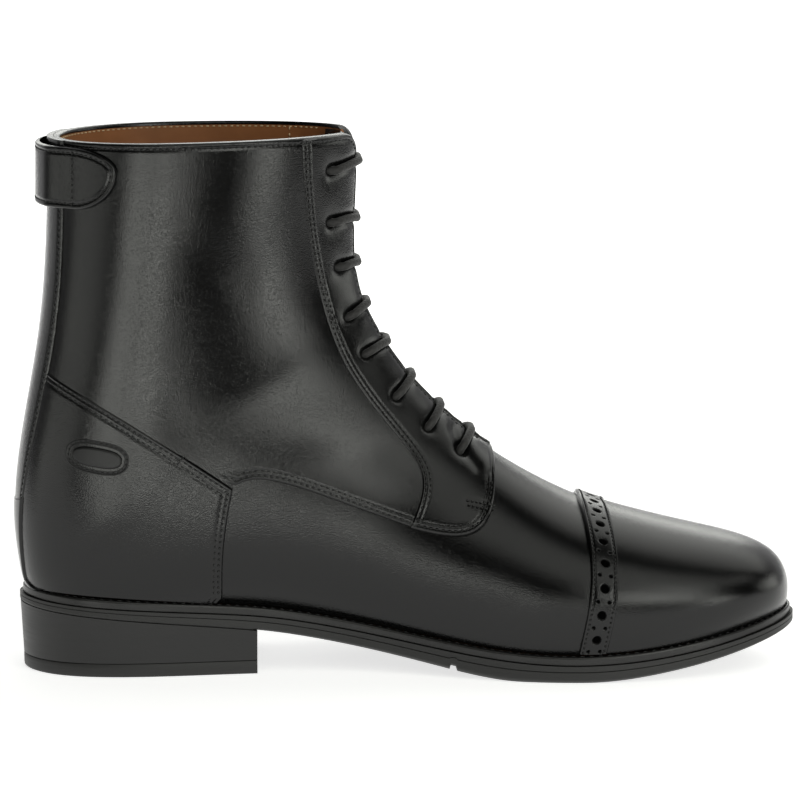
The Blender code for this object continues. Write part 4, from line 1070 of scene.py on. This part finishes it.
strap, strap_stand = loop_grid(0.0)
strap_edge = np.min(edge_distances(strap), axis=0)
strap_height = strap_stand + LOOP_THICKNESS * rolled(strap_edge, 0.8)
strap_height = strap_height - sunk(strap_edge, (LOOP_THREAD,))
panel("pull_loop", strap, strap_height, strap_stand - 0.2, calf)
border, border_stand = loop_grid(LOOP_THREAD)
middle = border.shape[1] // 2
for row in (0, -1):
    for half in (slice(0, middle), slice(middle, None)):
        sew(border[row, half], border_stand[row, half] + LOOP_THICKNESS - THREAD_SINK)
sewn_column = round(np.degrees(np.arcsin(LOOP_SEWN / LOOP_END)))
for at in (middle - sewn_column, middle + sewn_column):
    sew(strap[3:-3, at], LOOP_BASE + LOOP_THICKNESS - THREAD_SINK / 2)
print("pull loop:", LOOP_TOP - LOOP_BOTTOM, "mm high")

# %% [markdown]
# ## Toe cap, perforated band and oval pad
# The toe cap is a second skin over the front of the vamp. Along its seam runs a band with punched
# holes, large ones about a centimetre apart and pairs of small ones between them. They are real dents
# in a fine grid, worked out from the distance to the nearest hole centre, and their insides are
# coloured near black and dull as painted shade.

# %% Toe cap
CAP_SEAM = ((209.0, 11.5), (211.2, 22.0), (213.2, 34.0), (213.6, 48.0), (211.6, 62.3))
CAP_PROUD, BAND_PROUD, BAND_WIDTH = 1.2, 2.0, 10.8
CAP_FOOT = 0.99


def cap_row(q, forward=0.0):
    """Row number of the toe cap's seam at q, moved towards the toe by forward."""
    fine = seam(CAP_SEAM, 1.0, x=forward, count=240)
    order = np.argsort(fine[:, 1])
    return np.interp(np.abs(q), fine[order, 1], fine[order, 0])


cap_q = np.linspace(-1, 1, 161) * CAP_FOOT
cap_share = 1 - (1 - np.linspace(0, 1, 90)) ** 1.5
cap_v = cap_share[:, None] * cap_row(cap_q, 1.0)[None, :]
cap_grid = np.stack([cap_v, np.broadcast_to(cap_q, cap_v.shape)], axis=-1)
_, cap_edge, _, _ = edge_distances(cap_grid)
cap_height = swell(0.3, CAP_PROUD, cap_edge, 0.9)
panel("toe_cap", cap_grid, cap_height, UNDER_PANEL, calf, rims=("last", "left", "right"))
print("toe cap:", cap_grid.shape[0], "by", cap_grid.shape[1], "points")

# %% Perforated band
HOLE_PITCH, HOLE_RADIUS, PIN_RADIUS, PIN_APART = 9.5, 1.6, 0.6, 2.1
HOLE_DEPTH, HOLE_SLOPE, BAND_ROW = 0.65, 0.35, 1.4
band_q = np.linspace(-CAP_FOOT, CAP_FOOT, 620)
band_share = np.linspace(0, 1, 41)[:, None]
band_v = (1 - band_share) * cap_row(band_q, 0.3) + band_share * cap_row(band_q, BAND_WIDTH)
band_grid = np.stack([band_v, np.broadcast_to(band_q, band_v.shape)], axis=-1)
band_middle = run_of(places(band_grid[20]))
band_low, band_high, _, _ = edge_distances(band_grid)
band_along = band_middle - band_middle[-1] / 2
band_across = (band_low - band_high) / 2


def nearest(at_along, at_across):
    """Distance to the nearest of the hole centres that repeat along the band."""
    step = (band_along[None, :] - at_along + HOLE_PITCH / 2) % HOLE_PITCH - HOLE_PITCH / 2
    return np.hypot(step, band_across - at_across)


big = nearest(0.0, 0.0) - HOLE_RADIUS
pins = [nearest(HOLE_PITCH / 2, at) - PIN_RADIUS for at in (-PIN_APART, PIN_APART)]
punched = np.clip(0.5 - np.minimum(big, np.minimum(*pins)) / HOLE_SLOPE, 0, 1)
band_edge = np.minimum(band_low, band_high)
band_height = swell(0.3, BAND_PROUD, band_edge, 0.8) - sunk(band_edge, (BAND_ROW,))
band_height = band_height - HOLE_DEPTH * punched
# The punched mark also paints shade into the holes through the leather's material.
panel("toe_cap_band", band_grid, band_height, 0.1, calf, marks=("punched", punched))
for line, turn in ((band_grid[0], -1), (band_grid[-1], 1)):
    sew(offset(line[::4], turn * BAND_ROW), BAND_PROUD - THREAD_SINK, pitch=1.9, length=1.3)
print("punched holes:", int((band_along[-1] - band_along[0]) / HOLE_PITCH) + 1)

# %% Oval pad on the medial counter
BADGE_CENTRE, BADGE_HALF, BADGE_TILT = (31.3, 84.5), (11.5, 6.4), np.radians(-9.0)
BADGE_POWER, BADGE_RING, BADGE_VALLEY = 2.6, 1.0, 2.3
turn = np.linspace(0, 2 * np.pi, 121)


def badge_point(inward, angle):
    """Rounded oblong inside the pad's edge: a tilted superellipse, as side-view points."""
    waves = [np.sign(w) * np.abs(w) ** (2 / BADGE_POWER) for w in (np.cos(angle), np.sin(angle))]
    along, up = ((half - inward) * wave for half, wave in zip(BADGE_HALF, waves))
    x = BADGE_CENTRE[0] + along * np.cos(BADGE_TILT) - up * np.sin(BADGE_TILT)
    z = BADGE_CENTRE[1] + along * np.sin(BADGE_TILT) + up * np.cos(BADGE_TILT)
    return np.stack([x, z], axis=-1)


inward = np.concatenate([np.linspace(0, 4.4, 45), [5.0, 5.6, BADGE_HALF[1]]])[:, None]
badge_grid = locate(badge_point(inward, turn[None, :]), -1.0)
badge_height = COUNTER_PROUD - 0.3 + 0.6 * rolled(inward, 0.6) - sunk(inward, (BADGE_RING,))
badge_height = badge_height - 0.8 * furrow(inward, BADGE_VALLEY, 0.5)
badge_height = badge_height + 0.55 * rolled(np.clip(inward - BADGE_VALLEY - 0.2, 0, None), 1.5)
panel("oval_pad", badge_grid, badge_height, COUNTER_PROUD - 0.9, pressed, rims=("first",))
badge_ring = locate(badge_point(BADGE_RING, turn), -1.0)
sew(badge_ring, COUNTER_PROUD + 0.3 - THREAD_SINK, pitch=2.0, length=1.3)
print("oval pad:", 2 * BADGE_HALF[0], "by", 2 * BADGE_HALF[1], "mm")

# %% [markdown]
# ## The lace
# One round braided cord is drawn over the throat, bar by bar, leans a little towards each eyelet
# and dives in. A tube is a circle carried along a path. The path is laid on the section of each
# bar, so it wraps over the edge of the facing as a real cord does. The cord's own map counts the
# strands round the tube and the braid's pitches along it.

# %% Bars of the lace
LACE_RADIUS, LACE_LIFT, BRAID_PITCH, BRAID_STRANDS = 1.55, 0.45, 2.6, 4
DIVE_RUN, DIVE_DEPTH, DIVE_POWER = 3.0, 3.6, 2.2
lace_turn = np.linspace(0, 2 * np.pi, 21)
lace_steps = np.linspace(-1, 1, 97)


def lace_bar(name, bar):
    """Tube along one bar: it rises out of an eyelet, runs over the facing and the gap, and dives."""
    edge_row, eyelet_row, arc = bar
    rows, q = bar_line(bar, lace_steps).T
    reach = np.abs(lace_steps) * arc
    into = np.clip((reach - arc + DIVE_RUN) / DIVE_RUN, 0, 1)
    lift = FACING_PROUD + LACE_LIFT - DIVE_DEPTH * into**DIVE_POWER
    path = bare_upper(rows, q) + normals(rows, q) * lift[:, None]
    over_gap = reach < throat_gap(edge_row) if edge_row == eyelet_row else rows == edge_row
    inside = np.flatnonzero(over_gap)
    first, last = inside[[0, -1]]
    share = (lace_steps[inside] - lace_steps[first]) / np.ptp(lace_steps[inside])
    path[inside] = path[first] + (path[last] - path[first]) * share[:, None]
    tangent = path_tangent(path)
    out = square_to(normals(rows, q), tangent)
    across = np.cross(tangent, out)
    cosine, sine = np.cos(lace_turn)[:, None], np.sin(lace_turn)[:, None]
    tube = path[:, None] + LACE_RADIUS * (cosine * out[:, None] + sine * across[:, None])
    start, end = (np.broadcast_to(path[k], tube[:1].shape) for k in (0, -1))
    rings = np.concatenate([start, tube, end])
    run = run_of(path)
    along = np.concatenate([[0], run, run[-1:]]) / BRAID_PITCH
    strand = lace_turn[None, :] / (2 * np.pi) * BRAID_STRANDS
    uv = np.stack(np.broadcast_arrays(strand, along[:, None]), axis=-1).reshape(-1, 2)
    faces = quads(*rings.shape[:2])
    piece(name + "_cord", rings.reshape(-1, 3), faces, cord, "cord", (name,), uv=("braid", uv))


for number, bar in enumerate(LACE_BARS, start=1):
    lace_bar("lace_bar_%d" % number, bar)
print("lace bars:", len(LACE_BARS), "of cord", 2 * LACE_RADIUS, "mm thick")

# %% [markdown]
# ## Sole, welt and heel
# The sole is built from rings of its plan. A ring has an inset from the plan and a height that
# changes along the foot, so one function makes outsole, heel and insole from a short profile of
# insets. The outsole's profile carries the thin groove of its edge.

# %% Plates of the sole
WELT_THICKNESS, PLATE_GAP = 3.0, 0.15
HEEL_BREAST_X, TOP_PIECE_HEIGHT, HEEL_TAPER = 90.0, 5.2, 1.3
TREAD_EDGE_X, TREAD_NOTCH_HALF, TREAD_NOTCH_DEPTH = 163.0, 1.2, 1.6


def underside(x):
    """Underside of the outsole, with the notch at the tread's rear edge."""
    notch = np.clip((TREAD_NOTCH_HALF - np.abs(x - TREAD_EDGE_X)) / 0.3 + 0.5, 0, 1)
    return height_along(UNDERSIDE, x) + TREAD_NOTCH_DEPTH * notch


def ring(along, inset, height, square_at=None):
    """Closed line round the plan at an inset, a number or function of x; its height is one too."""
    moved = inset(outline(along)[0][:, 0]) if callable(inset) else inset
    medial, lateral = outline(along, moved)
    if square_at is not None:
        medial[-1, 0] = lateral[-1, 0] = square_at
    plan = np.concatenate([medial, lateral[::-1]])
    return np.column_stack([plan, height(plan[:, 0])])


def plate(name, along, insets, heights, finish, slot, square_at=None):
    """Rings of the plan, bottom to top, closed by strips from the medial to the lateral side."""
    rings = [ring(along, inset, height, square_at) for inset, height in zip(insets, heights)]
    count = len(rings[0])
    strip = np.arange(len(along) - 1)
    cap = np.stack([strip, strip + 1, count - 2 - strip, count - 1 - strip], axis=-1)
    side = quads(len(rings), count, wrap=True)
    faces = np.concatenate([side, cap[:, ::-1], cap + (len(rings) - 1) * count])
    piece(name + "_" + slot, np.concatenate(rings), faces, finish, slot, (name,))
    print(name, len(rings), "rings of", count)

# %% Outsole
EDGE_ROUND, HEEL_EDGE_ROUND, ROUND_SHARE = 1.8, 0.5, 0.25
GROOVE, GROOVE_DEPTH, GROOVE_WIDTH = 0.66, 0.3, 0.02
stations = np.unique(np.concatenate([np.linspace(0, 1, 260), np.linspace(0.52, 0.545, 40)]))
levels = np.concatenate([np.linspace(0, 1, 34) ** 1.4, GROOVE + np.linspace(-0.05, 0.05, 9)])
levels = np.unique(levels)


def outsole_level(s):
    """Height at a share of the way from the underside to the welt's bottom."""
    def level(x):
        top = seat(x) - WELT_THICKNESS - 2 * PLATE_GAP
        return underside(x) + s * (top - underside(x))
    return level


def outsole_inset(s):
    """Rounded below, more so ahead of the heel, and a fine groove along the edge."""
    line = GROOVE_DEPTH * furrow(s, GROOVE, GROOVE_WIDTH)
    low = np.clip(1 - s / ROUND_SHARE, 0, 1) ** 2
    return lambda x: np.where(x > HEEL_BREAST_X, EDGE_ROUND, HEEL_EDGE_ROUND) * low + line


outsole_insets, outsole_levels = ([make(s) for s in levels] for make in (outsole_inset, outsole_level))
plate("outsole", stations, outsole_insets, outsole_levels, rubber, "rubber")

# %% Heel
SEAT_INSET, STACK_LOW = 0.2, TOP_PIECE_HEIGHT + PLATE_GAP
TOP_PIECE_PROFILE = (
    (0.9, 0.0), (0.6, 0.12), (0.35, 0.35), (0.15, 0.7), (0.05, 1.2), (0.0, 3.0), (0.0, 4.8),
    (0.1, 5.05), (0.3, TOP_PIECE_HEIGHT),
)
fine = np.linspace(0, 1, 2000)
breast = float(np.interp(HEEL_BREAST_X, outline(fine)[0][:, 0], fine))
heel_stations = np.linspace(0, breast, 120)
lift = np.linspace(0, 1, 12)


def stack_level(s):
    """Height at a share of the way from the top piece to the outsole."""
    return lambda x: STACK_LOW + s * (underside(x) - PLATE_GAP - STACK_LOW)


stack_insets = HEEL_TAPER * (1 - lift) + SEAT_INSET * lift
plate("heel_stack", heel_stations, stack_insets, [stack_level(s) for s in lift], stack_leather,
      "heel_leather", HEEL_BREAST_X)
top_insets = [HEEL_TAPER + inset for inset, _ in TOP_PIECE_PROFILE]
top_levels = [lambda x, z=z: np.full_like(x, z) for _, z in TOP_PIECE_PROFILE]
plate("heel_top_piece", heel_stations, top_insets, top_levels, rubber, "rubber", HEEL_BREAST_X)

# %% Welt and its stitches
WELT_PITCH, WELT_STITCH, WELT_ROW, WELT_SINK, WELT_STEP = 3.4, 2.3, 2.6, 0.1, 0.5
WELT_PROFILE = (
    (1.2, -3.0), (1.2, -0.9), (1.25, -0.5), (1.45, -0.2), (1.8, 0.0), (2.3, -0.08), (2.6, -0.22),
    (2.9, -0.08), (3.4, 0.0), (6.0, 0.0), (11.0, 0.0), (11.0, -3.0), (1.2, -3.0),
)
rings = [ring(stations, inset, lambda x, drop=drop: seat(x) + drop) for inset, drop in WELT_PROFILE]
welt_faces = quads(len(rings), len(rings[0]), wrap=True)
piece("welt_strip", np.concatenate(rings), welt_faces, welt_edge, "welt", ("welt",))

for half in outline(np.linspace(0, 1, 900), WELT_ROW):
    path = np.column_stack([half, seat(half[:, 0]) - WELT_SINK])
    run = run_of(path)
    at = np.arange(WELT_PITCH / 2, run[-1], WELT_PITCH)
    place = points_at(at, run, path)
    tangent = unit(points_at(at + WELT_STEP, run, path) - place)
    up = square_to(np.array([[0.0, 0.0, 1.0]]), tangent)
    sewn["welt_stitching"].append(spindles(place, tangent, up, WELT_STITCH))
print("welt stitches:", sum(len(s) for s in sewn["welt_stitching"]))

# %% Insole
INSOLE_INSET = 7.2
INSOLE_PROFILE = ((0.0, 0.0), (0.0, 2.3), (0.1, 2.7), (0.4, 2.93), (0.9, 3.0))
insole_insets = [INSOLE_INSET + inset for inset, _ in INSOLE_PROFILE]
insole_levels = [lambda x, z=z: seat(x) + BASE_GAP + z for _, z in INSOLE_PROFILE]
plate("insole", np.linspace(0, 1, 120), insole_insets, insole_levels, lining_leather, "lining")

# %% Stitching of the lining and all the threads joined
for side in (-1, 1):
    round_collar = side * np.linspace(0.19, 0.999, 200)
    line = np.column_stack([below_collar(FOLD_OVER + 0.6, round_collar), round_collar])
    corner = seam(((105.5, 201.0), (105.5, 198.5), (105.5, 196.0)), side, count=20)
    for row in (line, corner):
        sew(row, LINING_INNER, "lining_stitching", face=-1)
threads = {"upper_stitching": (black_thread, "calf"), "lining_stitching": (cream_thread, "lining"),
           "welt_stitching": (black_thread, "welt")}
for name, rows in sewn.items():
    points = np.concatenate(rows)
    stitch = quads(points.shape[1], points.shape[2], wrap=True)
    each = points.shape[1] * points.shape[2]
    faces = (np.arange(len(points))[:, None, None] * each + stitch).reshape(-1, 4)
    piece(name, points.reshape(-1, 3), faces, *threads[name])
    print(name, len(points), "stitches")

# %% [markdown]
# ## Studio
# A pale floor runs on as the background. Black leather shows only what it reflects, so the light is
# a ring of soft boxes that are placed by their direction from the boot: low ones draw the
# highlights of the foot and the counter, tall ones those of the shaft, and the dark gaps between
# them keep the leather black.

# %% Floor and world
FLOOR_SIDE, FLOOR_FRONT, FLOOR_BACK = 0.7, -0.27, 5.0
WHITE = (1.0, 1.0, 1.0, 1.0)
FLOOR_GLOW = {"low": 0.7, "high": 1.1, "start": 0.3, "end": 1.2}
WORLD_GLOW = {"low": 0.02, "high": 0.5, "start": 0.1, "end": 0.8}
corners = [(-FLOOR_SIDE, FLOOR_FRONT, 0), (FLOOR_SIDE, FLOOR_FRONT, 0)]
corners += [(x, FLOOR_BACK, 0) for x in (FLOOR_SIDE, -FLOOR_SIDE)]
floor_mesh = bpy.data.meshes.new("studio_floor")
floor_mesh.from_pydata(corners, [], [(0, 1, 2, 3)])
floor = bpy.data.objects.new("studio_floor", floor_mesh)
scene.collection.objects.link(floor)
paper, tree, shader = finish_of("white_paper", Roughness=0.9, Base_Color=linear("#f4f4f2"),
                                Emission_Color=WHITE)
depth = add(tree, "SeparateXYZ", {0: own_place(tree)}).outputs[1]
wire(tree, shader, {"Emission Strength": ramp(tree, depth, **FLOOR_GLOW)})
floor_mesh.materials.append(paper)

world = bpy.data.worlds.new("studio")
world.use_nodes = True
scene.world = world
tree = world.node_tree
toward = add(tree, "TexCoord", {}).outputs["Generated"]
behind = add(tree, "SeparateXYZ", {0: toward}).outputs[1]
wire(tree, tree.nodes["Background"], {"Color": WHITE, "Strength": ramp(tree, behind, **WORLD_GLOW)})
print("floor ends", -FLOOR_FRONT, "m in front of the boot")

# %% Soft boxes
BOX_DISTANCE, AIM = 2.0, Vector((0.0, 0.0, 0.1))
SOFT_BOXES = (
    ("low_front_box", -18, -15.5, 36, 12, 4.1),
    ("low_centre_box", 3, -15.5, 6, 12, 8.0),
    ("low_left_box", -24, -5.5, 18, 8, 3.4),
    ("low_middle_box", 1, -3, 20, 9, 2.0),
    ("left_box", -70, -3, 50, 14, 1.3),
    ("right_box", 45, -9, 9, 24, 7.0),
    ("right_front_box", 21, 13, 20, 18, 3.9),
    ("right_middle_box", 36, 18, 12, 30, 2.6),
    ("front_high_box", 8, 48, 56, 40, 1.0),
    ("right_high_box", 62, 38, 40, 20, 0.65),
    ("toe_box", 100, 8, 30, 20, 2.0),
    ("back_right_box", 134, 48, 48, 36, 1.0),
    ("back_box", 180, 18, 40, 16, 2.0),
)
BOX_COLOUR = (0.985, 1.0, 0.94)


def direction(azimuth, elevation):
    """Unit vector from the boot: azimuth 0 points to the camera's side and 90 to the toe."""
    turn, rise = np.radians(azimuth), np.radians(elevation)
    return Vector((np.sin(turn) * np.cos(rise), -np.cos(turn) * np.cos(rise), np.sin(rise)))


def soft_box(name, azimuth, elevation, width, height, radiance):
    """Area light in a direction from the boot, with its width and height in degrees as seen from
    there; its power is radiance times pi times its area."""
    away = direction(azimuth, elevation)
    data = bpy.data.lights.new(name, "AREA")
    data.shape = "RECTANGLE"
    halves = (np.radians(angle / 2) for angle in (width, height))
    data.size, data.size_y = (2 * BOX_DISTANCE * np.tan(half) for half in halves)
    data.energy = radiance * np.pi * data.size * data.size_y
    data.color = BOX_COLOUR
    made = bpy.data.objects.new(name, data)
    made.location = AIM + BOX_DISTANCE * away
    made.rotation_euler = away.to_track_quat("Z", "Y").to_euler()
    scene.collection.objects.link(made)


for row in SOFT_BOXES:
    soft_box(*row)
print("soft boxes:", len(SOFT_BOXES))

# %% Camera at the photograph's angle
AZIMUTH, ELEVATION, DISTANCE = -3.0, 8.8, 1.82
TARGET = Vector((-0.0005, -0.00055, 0.0989))
FOCAL_PIXELS, IMAGE_PIXELS, SENSOR = 4804.8, 800, 36.0
TARGET_PIXEL = (403, 402)
back = direction(AZIMUTH, ELEVATION)
camera_data = bpy.data.cameras.new("camera")
camera_data.sensor_width = SENSOR
camera_data.lens = FOCAL_PIXELS / IMAGE_PIXELS * SENSOR
camera_data.shift_x = (IMAGE_PIXELS / 2 - TARGET_PIXEL[0]) / IMAGE_PIXELS
camera_data.shift_y = (TARGET_PIXEL[1] - IMAGE_PIXELS / 2) / IMAGE_PIXELS
camera = bpy.data.objects.new("camera", camera_data)
camera.location = TARGET + back * DISTANCE
camera.rotation_mode = "QUATERNION"
camera.rotation_quaternion = (-back).to_track_quat("-Z", "Y")
scene.collection.objects.link(camera)
scene.camera = camera
scene.view_settings.view_transform = "Standard"
